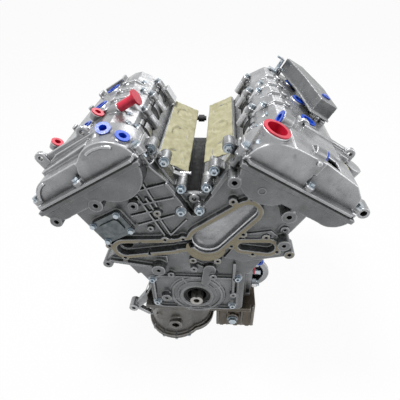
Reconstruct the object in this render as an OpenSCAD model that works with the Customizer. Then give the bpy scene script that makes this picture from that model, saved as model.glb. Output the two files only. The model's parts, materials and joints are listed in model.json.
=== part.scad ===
/* [Engine layout] */
// Angle between the two cylinder banks
bank_angle = 60; // [56:1:64]
// Distance between neighbouring cylinders of one bank
bore_pitch = 105.5; // [105:0.5:108]
// Cylinder bore
bore_d = 94; // [90:0.5:95]
// Piston stroke
stroke = 83; // [76:1:84]
// Connecting rod length, centre to centre
rod_length = 147.5; // [147:0.5:150]
// Height of the piston crown above its pin
crown_height = 30.5; // [29:0.5:32]
// Distance by which the left bank stands ahead of the right bank
bank_offset = 36.6; // [34:0.2:38]
// Distance from the front gasket face to the front face of the block
case_depth = 54; // [52:1:56]
// Distance from the block front to the first cylinder centre
first_bore = 55.4; // [54:0.2:58]
// Distance from the last cylinder centre to the rear face of the block
last_bore = 57; // [56:1:62]

/* [Block] */
// Half width of the block across both bores and jackets of one bank
bank_half_w = 62; // [60:1:64]
// Half width of the crankcase at the sump face
skirt_half_w = 118; // [112:1:124]
// Depth of the sump face under the crankshaft axis
skirt_depth = 58; // [54:1:62]
// Height of the valley floor over the crankshaft axis
valley_z = 200; // [194:1:204]
// Radius of the round crank chambers
chamber_r = 84; // [80:1:88]
// Radius of the gearbox flange at the rear
bell_r = 176; // [168:1:184]
// Thickness of the gearbox flange
bell_t = 14; // [10:1:18]
// Pitch radius of the gearbox bolts
bell_bolt_r = 164; // [158:1:168]
// Diameter of the gearbox bolt holes
bell_hole_d = 12; // [8:0.5:14]

/* [Crankshaft] */
// Main journal diameter
main_d = 61; // [55:1:64]
// Crankpin diameter
pin_d = 53; // [48:1:56]
// Running clearance of a journal on the radius
run_gap = 0.05; // [0.02:0.01:0.1]
// Counterweight radius
weight_r = 74; // [70:1:76]
// Diameter of the crankshaft nose
nose_d = 29; // [26:1:32]
// Distance of the nose tip in front of the front gasket face
nose_out = 9.5; // [6:0.5:24]
// Flywheel flange diameter
flange_d = 96; // [90:1:104]
// Flywheel bolt circle diameter
fly_circle_d = 74; // [68:1:78]
// Flywheel bolt thread hole diameter
fly_hole_d = 10; // [8:0.5:12]
// Number of flywheel bolts
fly_holes = 8; // [6:1:10]
// Diameter of the pilot bore in the flywheel flange
pilot_d = 36; // [28:1:40]
// Length of the flywheel flange behind the rear seal
flange_t = 14; // [10:1:18]

/* [Pistons] */
// Gap between piston and bore on the radius
piston_gap = 0.3; // [0.2:0.05:0.5]
// Skirt length under the piston pin
skirt_below = 17; // [14:1:18]
// Piston pin diameter
wrist_d = 22; // [20:0.5:24]

/* [Cylinder heads] */
// Thickness of the head gasket
gasket_t = 1; // [0.6:0.1:1.6]
// Height of the head casting
head_h = 94; // [90:1:98]
// Height of the camshaft housing
cam_house_h = 59; // [56:1:62]
// Height of the head cover over the split line
cover_h = 58; // [54:1:62]
// Wall thickness of the castings
wall = 5; // [4:0.5:6]
// Distance of each camshaft from the bank centre plane
cam_u = 59; // [57:0.5:61]
// Half width of the camshaft housing behind the chain case
cam_house_half_w = 92; // [90:1:96]
// Height of the intake face centre over the crankshaft axis
intake_z = 312; // [306:1:316]
// Distance of the intake face centre from the engine centre plane
intake_x = 46; // [42:1:50]
// Slope of the intake face towards the valley
intake_slope = 25; // [22:1:28]
// Width of the intake face across the ports
intake_w = 66; // [60:1:72]
// Length of an intake port along the engine
port_l = 56; // [48:1:60]
// Height of an intake port
port_h = 34; // [28:1:38]
// Diameter of a spark plug well
well_d = 28; // [24:1:30]

/* [Camshafts] */
// Camshaft bearing diameter
cam_d = 27; // [24:1:30]
// Base circle diameter of a cam lobe
base_d = 32; // [30:1:34]
// Lift of a cam lobe
lift = 8; // [6:0.5:9]
// Width of a cam lobe
lobe_w = 12; // [10:1:13]
// Chain pitch
chain_pitch = 7; // [6.8:0.1:7.2]
// Teeth on a crankshaft sprocket
crank_teeth = 18; // [18:1:19]
// Teeth on the wheels of the short chain between two camshafts
second_teeth = 22; // [20:1:22]

/* [Timing cover] */
// Half width of the timing cover below the banks
case_half_w = 108; // [104:1:112]
// Distance of the cover wall behind the gasket faces
wall_back = 12; // [10:0.5:14]
// Outer reach of the left chain case from the bank centre plane
case_out_left = 84; // [80:1:88]
// Outer reach of the right chain case from the bank centre plane
case_out_right = 62; // [58:1:66]
// Inner reach of the chain case wall from the bank centre plane
case_in = 115; // [112:1:118]
// Inner reach of the bolt flange beside the notch
flange_in = 119; // [116:1:124]
// Height of the notch floor between the banks
notch_z = 280; // [276:1:284]
// Distance of the bolt flange behind the gasket faces
flange_back = 30; // [26:1:34]
// Radius of the inner chain bulge
bulge_in_r = 57; // [55:1:60]
// Radius of the outer chain bulge
bulge_out_r = 38; // [37:1:40]
// Distance of the chain bulges in front of the gasket faces
bulge_out = 25; // [20:1:30]
// Step from the front of the inner bulge back to the outer bulge
outer_back = 7; // [5:1:10]
// Depth of the coolant pump chamber
volute_depth = 28; // [24:1:30]
// Radius of the round end of the coolant pump chamber
volute_r = 32; // [29:1:34]
// Radius of the outlet end of the coolant pump chamber
outlet_r = 18; // [16:1:20]
// Width of the gasket face around the coolant chambers
gasket_w = 11; // [9:0.5:13]
// Thread hole diameter of the pump bolts
pump_hole_d = 6; // [5:0.5:7]
// Outer diameter of the front crankshaft seal
seal_d = 61; // [58:1:64]
// Inner diameter of the front crankshaft seal
seal_in_d = 45; // [42:1:48]
// Distance of the seal face behind the front gasket face
seal_back = 7; // [5:0.5:10]

/* [Sump] */
// Depth of the lower sump flange under the crankshaft axis
sump_flange_z = 190; // [184:1:194]
// Depth of the resting face under the crankshaft axis
rest_z = 214; // [210:1:220]
// Depth of the shallow right part of the sump under the crankshaft axis
sump_side_z = 146; // [140:1:152]
// Diameter of the sump drain plug thread
drain_d = 14; // [12:1:18]

/* [Fasteners and plugs] */
// Thread diameter of the chain case bolts
bolt_d = 8; // [7:0.5:10]
// Width across flats of the chain case bolt heads
bolt_flats = 12; // [10:1:14]
// Diameter of the filler opening
filler_d = 40; // [36:1:42]
// Outer diameter of the filler neck
filler_neck_d = 50; // [48:1:54]
// Height of the filler neck over the split line
filler_h = 60; // [56:1:62]
// Thickness of the masking tape
tape_t = 0.5; // [0.4:0.1:1]
// Gap left between a plug and its hole
plug_gap = 0.3; // [0.2:0.1:0.5]
// Fit between seals, sleeves and their seats on the radius
seat_gap = 0.05; // [0.02:0.01:0.1]

/* [Hidden] */
$fn = 48;
bank_tilt = bank_angle / 2;
throw = stroke / 2;
deck_v = rod_length + throw + crown_height;
head_v0 = deck_v + gasket_t;
head_v1 = head_v0 + head_h;
split_v = head_v1 + cam_house_h;
top_v = split_v + cover_h;
left_bore_y = case_depth + first_bore;
right_bore_y = left_bore_y + bank_offset;
block_end = right_bore_y + 2 * bore_pitch + last_bore;
seal_end = block_end + 10;
front_to_flange = seal_end + flange_t;
main_half = 13.5;
bay_half = (bore_pitch - 2 * main_half) / 2;
bay_mid = (left_bore_y + right_bore_y) / 2;
web_t = bay_half - bank_offset / 2 - 10;
lap = 0.6;
part_gap = 0.3;
tuck = 0.02;
side_seat_x = skirt_half_w + 13;
valve_at = [20, head_v0 + 8];
valve_reach = [cam_u - valve_at[0], split_v - valve_at[1]];
valve_lean = atan2(valve_reach[0], valve_reach[1]);
valve_l = norm(valve_reach) - base_d / 2 - lift - 0.8;
cast_light = "silver";
cast_grey = "darkgray";

// The model is laid out from the front gasket face and then set on the flywheel flange face.
module from_front() { translate([0, -front_to_flange, 0]) children(); }

// One bank: x points away from the engine centre, z along the cylinders, y to the rear.
module on_bank(side) { mirror([side < 0 ? 1 : 0, 0, 0]) rotate([0, bank_tilt, 0]) children(); }
module on_bank_2d(side) { mirror([side < 0 ? 1 : 0, 0]) rotate(-bank_tilt) children(); }

// Front view outline drawn in x and z, given a depth from y0 to y1.
module slab(y0, y1) {
    translate([0, y1, 0]) rotate([90, 0, 0]) linear_extrude(y1 - y0) children();
}
module rod_y(x, z, r, y0, y1) {
    translate([x, y1, z]) rotate([90, 0, 0]) cylinder(r = r, h = y1 - y0);
}
module rect_block(x0, x1, z0, z1) { slab(0, 2 * front_to_flange) rect(x0, z0, x1, z1); }
module rod_z(x, y, r, z0, z1) { translate([x, y, z0]) cylinder(r = r, h = z1 - z0); }
module rod_x(y, z, r, x0, x1) {
    translate([x0, y, z]) rotate([0, 90, 0]) cylinder(r = r, h = x1 - x0);
}
module box(x0, x1, y0, y1, z0, z1) {
    translate([x0, y0, z0]) cube([x1 - x0, y1 - y0, z1 - z0]);
}
module rect(x0, z0, x1, z1) { translate([x0, z0]) square([x1 - x0, z1 - z0]); }
module disc(x, z, r) { translate([x, z]) circle(r); }
module round_rect(x0, z0, x1, z1, r) {
    rect(x0 + r, z0, x1 - r, z1);
    rect(x0, z0 + r, x1, z1 - r);
    for (x = [x0 + r, x1 - r], z = [z0 + r, z1 - r]) disc(x, z, r);
}
// Two circles joined by their outer tangents, whose sides sit a hair inside the circles.
module taper_slot(p, rp, q, rq) {
    d = norm(q - p);
    a = atan2(q[1] - p[1], q[0] - p[0]);
    b = acos((rp - rq) / d);
    function on(c, r, t) = c + r * [cos(t), sin(t)];
    disc(p[0], p[1], rp);
    disc(q[0], q[1], rq);
    polygon([
        on(p, rp - tuck, a + b), on(p, rp - tuck, a - b), on(q, rq - tuck, a - b), on(q, rq - tuck, a + b)
    ]);
}
module slot(p, q, r) { taper_slot(p, r, q, r); }
module hex_2d(x, z, flats) { translate([x, z]) circle(d = flats / cos(30), $fn = 6); }

function head_end(side) = block_end - 4 - (side < 0 ? bank_offset : 0);
function left_right(side) = side < 0 ? left_bore_y : right_bore_y;
function bore_ys(side) = [for (k = [0:2]) left_right(side) + k * bore_pitch];
function mains() = [for (k = [0:3]) bay_mid + (k - 0.5) * bore_pitch];
function saddle_ys(side) = [
    case_depth + 14, left_right(side) + bore_pitch / 2, left_right(side) + bore_pitch * 1.5, head_end(side) - 16
];
function sprocket_r(teeth) = chain_pitch / 2 / sin(180 / teeth);
cam_teeth = 2 * crank_teeth;
cam_r = sprocket_r(cam_teeth);
crank_r = sprocket_r(crank_teeth);
second_r = sprocket_r(second_teeth);
front_row = case_depth - 18;
rear_row = case_depth - 9;
second_row = case_depth - 28;
row_t = 5;

module block() {
    color(cast_grey) from_front() difference() {
        union() {
            slab(case_depth, block_end) crankcase_outline();
            slab(block_end - bell_t, block_end) bell_outline();
            slab(case_depth, case_depth + 12) block_front_outline();
            for (y = mains(), s = [-1, 1]) mirror([s < 0 ? 1 : 0, 0, 0])
                slab(y - 3, y + 3) polygon([
                    [skirt_half_w - 8, -skirt_depth + 8], [skirt_half_w + 10, -skirt_depth + 8],
                    [skirt_half_w + 8, 30], [skirt_half_w + 2, 70], [skirt_half_w - 12, 70]
                ]);
            for (s = [-1, 1], y = [left_bore_y + 30, left_bore_y + 190]) on_bank(s)
                rod_x(y, 150, 14, bank_half_w - 4, bank_half_w + 9);
            for (y = mains()) box(-34, 34, y - 7, y + 7, valley_z - 4, valley_z + 3);
            box(skirt_half_w - 4, side_seat_x, 60, 118, -40, 46);
            for (s = [-1, 1]) box(
                s * (skirt_half_w + 3) - 9, s * (skirt_half_w + 3) + 9,
                case_depth, block_end, -skirt_depth, -skirt_depth + 10
            );
        }
        for (s = [-1, 1], y = bore_ys(s)) on_bank(s)
            rod_z(0, y, bore_d / 2, chamber_r - 14, deck_v + 1);
        for (k = [0:2]) {
            y = bay_mid + k * bore_pitch;
            rod_y(0, 0, chamber_r, y - bay_half - 0.6, y + bay_half + 0.6);
            box(
                -chamber_r, chamber_r, y - bay_half - 0.6, y + bay_half + 0.6, -skirt_depth - 1, 0
            );
        }
        rod_y(0, 0, main_d / 2 + run_gap, case_depth - 1, block_end + 1);
        box(-76, 76, case_depth + 6, block_end + 1, -skirt_depth - 1, 0);
        box(-40, 40, case_depth - 1, case_depth + 7, -skirt_depth - 1, 0);
        for (a = bell_angles()) rotate([0, a, 0])
            rod_y(0, bell_bolt_r, bell_hole_d / 2, block_end - bell_t - 1, block_end + 1);
        for (s = [-1, 1], y = [left_bore_y + 30, left_bore_y + 190]) on_bank(s)
            rod_x(y, 150, 5, bank_half_w - 14, bank_half_w + 10);
        for (b = rail_bolts()) rod_z(b[0], b[1], bolt_d / 2, -skirt_depth - 1, -skirt_depth + 8);
    }
}
function bell_angles() = [-104, -66, -40, 40, 66, 104];
module crankcase_outline() {
    rect(-skirt_half_w, -skirt_depth, skirt_half_w, 40);
    polygon([[-skirt_half_w, 30], [skirt_half_w, 30], [60, valley_z - 60], [-60, valley_z - 60]]);
    rect(-44, 100, 44, valley_z);
    for (s = [-1, 1]) on_bank_2d(s) {
        rect(-bank_half_w, 90, bank_half_w, deck_v);
        rect(-bank_half_w - 2, deck_v - 16, bank_half_w + 3, deck_v);
    }
}
module block_front_outline() {
    crankcase_outline();
    rect(-29, valley_z - 10, 29, notch_z - 32);
    for (s = [-1, 1]) on_bank_2d(s) rect(-case_in, 150, case_out_right, deck_v);

}
module bell_outline() {
    intersection() {
        circle(bell_r);
        rect(-bell_r - 1, -skirt_depth, bell_r + 1, bell_r + 1);
    }
}

module main_caps() {
    color(cast_grey) from_front() for (y = mains()) difference() {
        y0 = y - main_half + 0.7;
        y1 = y + main_half - 0.7;
        union() {
            box(-75.7, 75.7, max(y0, case_depth + 6.3), min(y1, block_end), -46, 0);
            box(-46, 46, max(y0, case_depth + 6.3), min(y1, block_end), -54, -45);
        }
        rod_y(0, 0, main_d / 2 + run_gap, y0 - 1, y1 + 1);
    }
}

module rear_seal_housing() {
    color(cast_light) from_front() difference() {
        slab(block_end, seal_end) union() {
            circle(62);
            rect(-82, -skirt_depth + part_gap, 82, 24);
        }
        rod_y(0, 0, flange_d / 2 + 9 + seat_gap, block_end - 1, seal_end + 1);
        for (a = [-150, -90, -30, 30, 90, 150]) rotate([0, a, 0])
            rod_y(0, 59.5, 1.2, block_end - 1, seal_end + 1);
    }
}
module rear_seal() {
    color("dimgray") from_front() difference() {
        rod_y(0, 0, flange_d / 2 + 9, block_end + 1, seal_end);
        rod_y(0, 0, flange_d / 2 + run_gap, block_end, seal_end + 1);
        difference() {
            rod_y(0, 0, flange_d / 2 + 6, seal_end - 2, seal_end + 1);
            rod_y(0, 0, flange_d / 2 + 2, seal_end - 3, seal_end + 2);
        }
    }
}

function pin_angle(n) = (n % 2 == 1 ? -bank_tilt : bank_tilt) - (n - 1) * 120;
function pin_y(n) = left_bore_y + (n % 2 == 0 ? bank_offset : 0) + floor((n - 1) / 2) * bore_pitch;
module web_2d(weight) {
    taper_slot([0, 0], 37, [0, throw], pin_d / 2 + 3);
    if (weight) intersection() {
        circle(weight_r);
        polygon([[-100, -90], [-18, 10], [18, 10], [100, -90]]);
    }
}
module crankshaft() {
    color("gray") from_front() difference() {
        union() {
            rod_y(0, 0, nose_d / 2, -nose_out, front_row - 6);
            rod_y(0, 0, nose_d / 2 + 2, front_row - 6, case_depth - 4);
            rod_y(0, 0, main_d / 2 - 4, case_depth - 4, mains()[0]);
            for (y = mains()) rod_y(
                0, 0, main_d / 2, y - main_half - (y > mains()[0] ? lap : 0), y + main_half + lap
            );
            for (n = [1:6]) rotate([0, pin_angle(n), 0]) {
                rod_y(0, throw, pin_d / 2, pin_y(n) - 10 - lap, pin_y(n) + 10 + lap);
                first = n % 2 == 1;
                y = first ? pin_y(n) - 10 - web_t : pin_y(n) + 10;
                slab(y, y + web_t) web_2d(true);
            }
            for (n = [1, 3, 5]) {
                y = pin_y(n) + 10;
                slab(y, y + bank_offset - 20) union() {
                    rotate(-pin_angle(n)) web_2d(false);
                    rotate(-pin_angle(n + 1)) web_2d(false);
                }
            }
            rod_y(0, 0, main_d / 2, mains()[3], block_end);
            rod_y(0, 0, flange_d / 2, block_end + 0.6, front_to_flange);
            rod_y(0, 0, main_d / 2, block_end - 1, block_end + 1);
        }
        rod_y(0, 0, pilot_d / 2, front_to_flange - 18, front_to_flange + 1);
        for (k = [0 : fly_holes - 1]) rotate([0, k * 360 / fly_holes, 0])
            rod_y(0, fly_circle_d / 2, fly_hole_d / 2, front_to_flange - flange_t, front_to_flange + 1);
        rod_y(0, 0, nose_d / 2 - 7.5, -nose_out - 1, 24);
        box(-2.5, 2.5, -nose_out - 1, 20, nose_d / 2 - 3, nose_d / 2 + 1);
    }
}

// Chain wheel outline: one round gullet for each link.
module wheel_2d(teeth) {
    difference() {
        circle(sprocket_r(teeth) + 1.6);
        for (k = [0 : teeth - 1]) rotate(k * 360 / teeth)
            disc(0, sprocket_r(teeth) + 0.6, chain_pitch * 0.3);
    }
}
module crank_sprocket() {
    color("gray") from_front() difference() {
        union() {
            slab(front_row, front_row + row_t) wheel_2d(crank_teeth);
            slab(rear_row, rear_row + row_t) wheel_2d(crank_teeth);
            rod_y(0, 0, crank_r - 3, front_row, rear_row + row_t);
        }
        rod_y(0, 0, nose_d / 2 + 2 + seat_gap, 0, case_depth);
    }
}

function cam_pos(side, u) = [
    side * (split_v * sin(bank_tilt) + u * cos(bank_tilt)), split_v * cos(bank_tilt) - u * sin(bank_tilt)
];
module camshaft(side, u, first_phase) {
    ys = bore_ys(side);
    color("gray") from_front() on_bank(side) translate([u, 0, split_v]) difference() {
        union() {
            rod_y(0, 0, cam_d / 2, case_depth + 1, head_end(side) - 6);
            rod_y(0, 0, cam_d / 2 - 3, phaser_front(u) + 2, case_depth + 2);
            for (k = [0:2], d = [-18, 18]) slab(ys[k] + d - lobe_w / 2, ys[k] + d + lobe_w / 2)
                rotate(first_phase + k * 120) taper_slot(
                    [0, 0], base_d / 2, [0, base_d / 2 + lift - 6], 6
                );
        }
        rod_y(0, 0, 4, phaser_front(u), 60);
    }
}
module camshaft_in_left() { camshaft(-1, -cam_u, 20); }
module camshaft_ex_left() { camshaft(-1, cam_u, -20); }
module camshaft_in_right() { camshaft(1, -cam_u, 80); }
module camshaft_ex_right() { camshaft(1, cam_u, 40); }

// Cam phaser: the chain wheels and the round actuator in front of them.
function phaser_front(u) = u < 0 ? -4 : 4;
module phaser(side, u, row) {
    front_y = phaser_front(u);
    body_r = u < 0 ? cam_r - 4 : second_r + 2;
    color("slategray") from_front() on_bank(side) translate([u, 0, split_v]) difference() {
        union() {
            if (u < 0) slab(row, row + row_t) wheel_2d(cam_teeth);
            slab(second_row, second_row + row_t) wheel_2d(second_teeth);
            rod_y(0, 0, body_r, front_y, second_row - 2);
            rod_y(0, 0, cam_d / 2 + 6, front_y + 2, rear_row + row_t);
            for (a = [0:90:270]) rotate([0, a, 0]) rod_y(0, body_r - 8, 4, front_y - 3, front_y + 1);
        }
        rod_y(0, 0, cam_d / 2 - 3 + seat_gap, front_y - 4, case_depth);
    }
}
module phaser_in_left() { phaser(-1, -cam_u, rear_row); }
module phaser_ex_left() { phaser(-1, cam_u, second_row); }
module phaser_in_right() { phaser(1, -cam_u, front_row); }
module phaser_ex_right() { phaser(1, cam_u, second_row); }

// A chain as one closed band that stands clear of the tooth tips.
module chain_band(p, rp, q, rq) {
    difference() {
        taper_slot(p, rp + 7, q, rq + 7);
        taper_slot(p, rp + 2.2, q, rq + 2.2);
    }
}
module primary_chains() {
    color("dimgray") from_front() {
        slab(rear_row, rear_row + row_t) chain_band([0, 0], crank_r, cam_pos(-1, -cam_u), cam_r);
        slab(front_row, front_row + row_t) chain_band([0, 0], crank_r, cam_pos(1, -cam_u), cam_r);
    }
}
module secondary_chains() {
    color("dimgray") from_front() for (s = [-1, 1]) slab(second_row, second_row + row_t)
        chain_band(cam_pos(s, -cam_u), second_r, cam_pos(s, cam_u), second_r);
}
module chain_guides() {
    color("saddlebrown") from_front() for (s = [-1, 1]) {
        row = s < 0 ? rear_row : front_row;
        end = cam_pos(s, -cam_u);
        lean = atan2(end[0], end[1]);
        spread = atan2(cam_r - crank_r, norm(end));
        for (e = [-1, 1]) slab(row - 1, row + row_t + 1) rotate(-lean - e * spread)
            translate([e * (crank_r + 12), 0])
                round_rect(-4, norm(end) * 0.32, 4, norm(end) * 0.8, 3.9);
    }
}

module piston(n) {
    side = n % 2 == 1 ? -1 : 1;
    phase = (n - 1) * 120;
    drop = throw * (1 - cos(phase)) + rod_length - sqrt(pow(rod_length, 2) - pow(throw * sin(phase), 2));
    color("silver") from_front() on_bank(side)
        translate([0, pin_y(n), deck_v - crown_height - drop]) {
            difference() {
                union() {
                    difference() {
                        rod_z(0, 0, bore_d / 2 - piston_gap, -skirt_below, crown_height - 0.2);
                        rod_z(0, 0, bore_d / 2 - 7, -skirt_below - 1, crown_height - 9);
                        for (s = [-1, 1]) box(
                            -30, 30, s * bore_d / 2 - 14, s * bore_d / 2 + 14, -skirt_below - 1, 6
                        );
                    }
                    for (s = [-1, 1]) rod_y(0, 0, wrist_d / 2 + 6, s * 23 - 9, s * 23 + 9);
                    for (s = [-1, 1]) box(-14, 14, s * 23 - 9, s * 23 + 9, 0, crown_height - 8);
                }
                rod_y(0, 0, wrist_d / 2, -bore_d, bore_d);
                for (z = [14, 19, 24]) difference() {
                    rod_z(0, 0, bore_d, z, z + 2);
                    rod_z(0, 0, bore_d / 2 - 4, z - 1, z + 3);
                }
            }
            difference() {
                rod_y(0, 0, wrist_d / 2 - 0.02, -31, 31);
                rod_y(0, 0, wrist_d / 2 - 5, -32, 32);
            }
        }
}
module piston_1() { piston(1); }
module piston_2() { piston(2); }
module piston_3() { piston(3); }
module piston_4() { piston(4); }
module piston_5() { piston(5); }
module piston_6() { piston(6); }

// Frame of an intake face: x down the slope to the valley, z out of the face.
module on_intake(side) {
    mirror([side < 0 ? 1 : 0, 0, 0]) translate([intake_x, 0, intake_z])
        rotate([0, -intake_slope, 0]) children();
}
function bank_u(x, z) = x * cos(bank_tilt) - z * sin(bank_tilt);
function bank_v(x, z) = x * sin(bank_tilt) + z * cos(bank_tilt);
function face_end(e) = [
    intake_x + e * intake_w / 2 * cos(intake_slope), intake_z + e * intake_w / 2 * sin(intake_slope)
];
module head_outline(side) {
    low = face_end(-1);
    high = face_end(1);
    polygon([
        [-68, head_v0], [-104, head_v0 + 12], [bank_u(low[0], low[1]), bank_v(low[0], low[1])],
        [bank_u(high[0], high[1]), bank_v(high[0], high[1])], [-86, head_v1], [84, head_v1],
        [92, head_v1 - 14], [92, head_v0 + 22], [76, head_v0]
    ]);
}
module head(side) {
    ys = bore_ys(side);
    out = side < 0 ? case_out_left : case_out_right;
    color(cast_grey) from_front() difference() {
        union() {
            on_bank(side) slab(case_depth, head_end(side)) head_outline(side);
            on_bank(side) slab(case_depth, case_depth + 12) rect(-flange_in, 256, out, head_v1);
            slab(case_depth, case_depth + 12) intersection() {
                notch_lugs(side);
                on_bank_2d(side) rect(-150, 256, 0, head_v1 - 1);
            }
            on_bank(side) for (y = ys) box(88, 98, y - 30, y + 30, head_v0 + 26, head_v0 + 70);
            on_bank(side) for (y = ys, d = [-38, 38])
                rod_x(y + d, head_v0 + 48, 9, 86, 98);
            on_intake(side) box(
                -intake_w / 2, intake_w / 2, case_depth + 2, head_end(side) - 4, -9, 0
            );
        }
        on_intake(side) for (y = ys) {
            for (d = [-1, 1]) translate([0, y + d * (port_l - port_h) / 2, -46])
                cylinder(r = port_h / 2, h = 47);
            box(
                -port_h / 2, port_h / 2, y - (port_l - port_h) / 2, y + (port_l - port_h) / 2, -46, 1
            );
        }
        on_bank(side) for (y = ys) {
            rod_z(0, y, bore_d / 2 - 5, head_v0 - 1, head_v0 + 15);
            rod_z(0, y, well_d / 2, head_v0 + 44, head_v1 + 1);
            rod_z(0, y, 7, head_v0, head_v0 + 60);
            for (d = [-9, 9]) rod_x(y + d, head_v0 + 48, 14, 28, 99);
            for (d = [-38, 38]) rod_x(y + d, head_v0 + 48, 3.5, 80, 99);
            for (d = [-18, 18], e = [-1, 1]) translate([e * valve_at[0], y + d, valve_at[1]])
                rotate([0, e * valve_lean, 0]) cylinder(r = 3.3, h = head_h);
        }
        on_intake(side) for (y = ys, d = [-bore_pitch / 2 + 8, bore_pitch / 2 - 8])
            translate([0, y + d, -20]) cylinder(r = 3, h = 21);
        on_bank(side) box(-88.3, 0, case_depth - 1, head_end(side) + 1, head_v1, head_v1 + 20);
        on_bank(side) box(-140, 0, case_depth - 1, case_depth + 12.3, head_v1, head_v1 + 20);
        if (side < 0) {
            slab(case_depth + 12, pipe_y1) rect(pipe_at[0] - 13, pipe_at[1] - 24, 0, pipe_at[1] + 60);
            rod_x(sensor_at[0], sensor_at[1], 5 + part_gap, -40, 0);
        }
    }
}
module head_left() { head(-1); }
module head_right() { head(1); }

module head_gaskets() {
    color("dimgray") from_front() for (s = [-1, 1]) on_bank(s) difference() {
        box(-66, 66, case_depth + 1, head_end(s) - 1, deck_v, head_v0);
        for (y = bore_ys(s)) rod_z(0, y, bore_d / 2 + 0.5, deck_v - 1, head_v0 + 1);
    }
}

module valves(lean) {
    color("gray") from_front() for (s = [-1, 1]) on_bank(s) for (y = bore_ys(s), d = [-18, 18])
        translate([lean * valve_at[0], y + d, valve_at[1]]) rotate([0, lean * valve_lean, 0]) {
            cylinder(r = 3, h = valve_l - 10);
            translate([0, 0, -3]) cylinder(r = 13.5, h = 2);
            translate([0, 0, -1.5]) cylinder(r = 7, h = 2.5);
            translate([0, 0, valve_l - 24]) cylinder(r = 10.5, h = 24);
        }
}
module intake_valves() { valves(-1); }
module exhaust_valves() { valves(1); }

module cam_housing(side) {
    ys = bore_ys(side);
    out = side < 0 ? case_out_left : case_out_right;
    w = cam_house_half_w;
    color(cast_light) from_front() on_bank(side) difference() {
        union() {
            difference() {
                box(-w + 4, w, case_depth, head_end(side), head_v1, split_v);
                box(-w + 4 + wall, w - wall, case_depth + 8, head_end(side) - 6, head_v1 + 8, split_v + 1);
            }
            difference() {
                slab(case_depth, case_depth + 12) union() {
                    rect(-flange_in, head_v1 + 0.1, -60, split_v - 3);
                    rect(60, head_v1 + 30, cam_u + bulge_out_r - 3, split_v - 3);
                }
                for (u = [-cam_u, cam_u]) rod_y(u, split_v, cam_d / 2 + 8, 0, 200);
            }
            for (y = saddle_ys(side)) box(-w + 6, w - 2, y - 8, y + 8, head_v1 + 2, split_v);
            for (y = ys) rod_z(0, y, well_d / 2 + 5, head_v1, split_v);
            for (b = split_bolts(side)) if (b[1] > case_depth) {
                rod_z(b[0], b[1], 9, split_v - 30, split_v);
                if (b[0] < 0) box(b[0], b[0] + 14, b[1] - 4, b[1] + 4, split_v - 25.3, split_v - 3.7);
            }
            if (side < 0) box(-w - 16, -w + 8, head_end(side) - 34, head_end(side), head_v1 + 12, split_v - 8);
            for (y = [for (k = [0:5]) ys[0] - 26 + k * bore_pitch / 2]) intersection() {
                rod_y(-cam_u, split_v - 8, 38, y - 13, y + 13);
                box(-cam_u - 40, -cam_u - 20, y - 14, y + 14, head_v1 + 4, split_v - 2);
            }
        }
        for (u = [-cam_u, cam_u]) {
            rod_y(u, split_v, cam_d / 2 + run_gap, case_depth - 1, head_end(side) - 5);
            for (y = ys, d = [-18, 18]) rod_y(
                u, split_v, base_d / 2 + lift + 1.5, y + d - lobe_w / 2 - 1, y + d + lobe_w / 2 + 1
            );
        }
        for (y = ys) rod_z(0, y, well_d / 2, head_v1 - 1, split_v + 1);
        for (b = split_bolts(side)) rod_z(b[0], b[1], bolt_d / 2, split_v - 16, split_v + 1);
        for (y = ys, d = [-18, 18], e = [-1, 1]) translate([e * valve_at[0], y + d, valve_at[1]])
            rotate([0, e * valve_lean, 0]) cylinder(r = 11, h = valve_l + 8);
    }
}
module cam_housing_left() { cam_housing(-1); }
module cam_housing_right() { cam_housing(1); }

module cam_caps(side) {
    color(cast_light) from_front() on_bank(side) for (y = saddle_ys(side), u = [-cam_u, cam_u])
        difference() {
            union() {
                box(u - 26, u + 26, y - 7, y + 7, split_v, split_v + 10);
                rod_y(u, split_v + 2, cam_d / 2 + 7, y - 7, y + 7);
            }
            rod_y(u, split_v, cam_d / 2 + run_gap, y - 8, y + 8);
            box(u - 40, u + 40, y - 8, y + 8, split_v - 40, split_v);
            for (d = [-20, 20]) rod_z(u + d, y, 3, split_v + 2, split_v + 11);
        }
}
module cam_caps_left() { cam_caps(-1); }
module cam_caps_right() { cam_caps(1); }

// Front view of the two chain bulges; grow is negative for the inside.
outer_c = cam_u + 12;
module bulge_outline(grow) {
    disc(-cam_u, split_v, bulge_in_r + grow);
    disc(outer_c, split_v, bulge_out_r + grow);
    rect(-cam_u, split_v - bulge_out_r + 1 - grow, outer_c - 1, split_v + bulge_out_r - 1 + grow);
}
module bulge_body(grow) {
    intersection() {
        bulge_outline(grow);
        rect(-200, split_v - 200, 200, split_v - 5);
    }
}
module bulge_rim(grow) {
    intersection() {
        bulge_outline(grow);
        rect(-200, split_v - 9, 200, split_v);
    }
}

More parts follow.
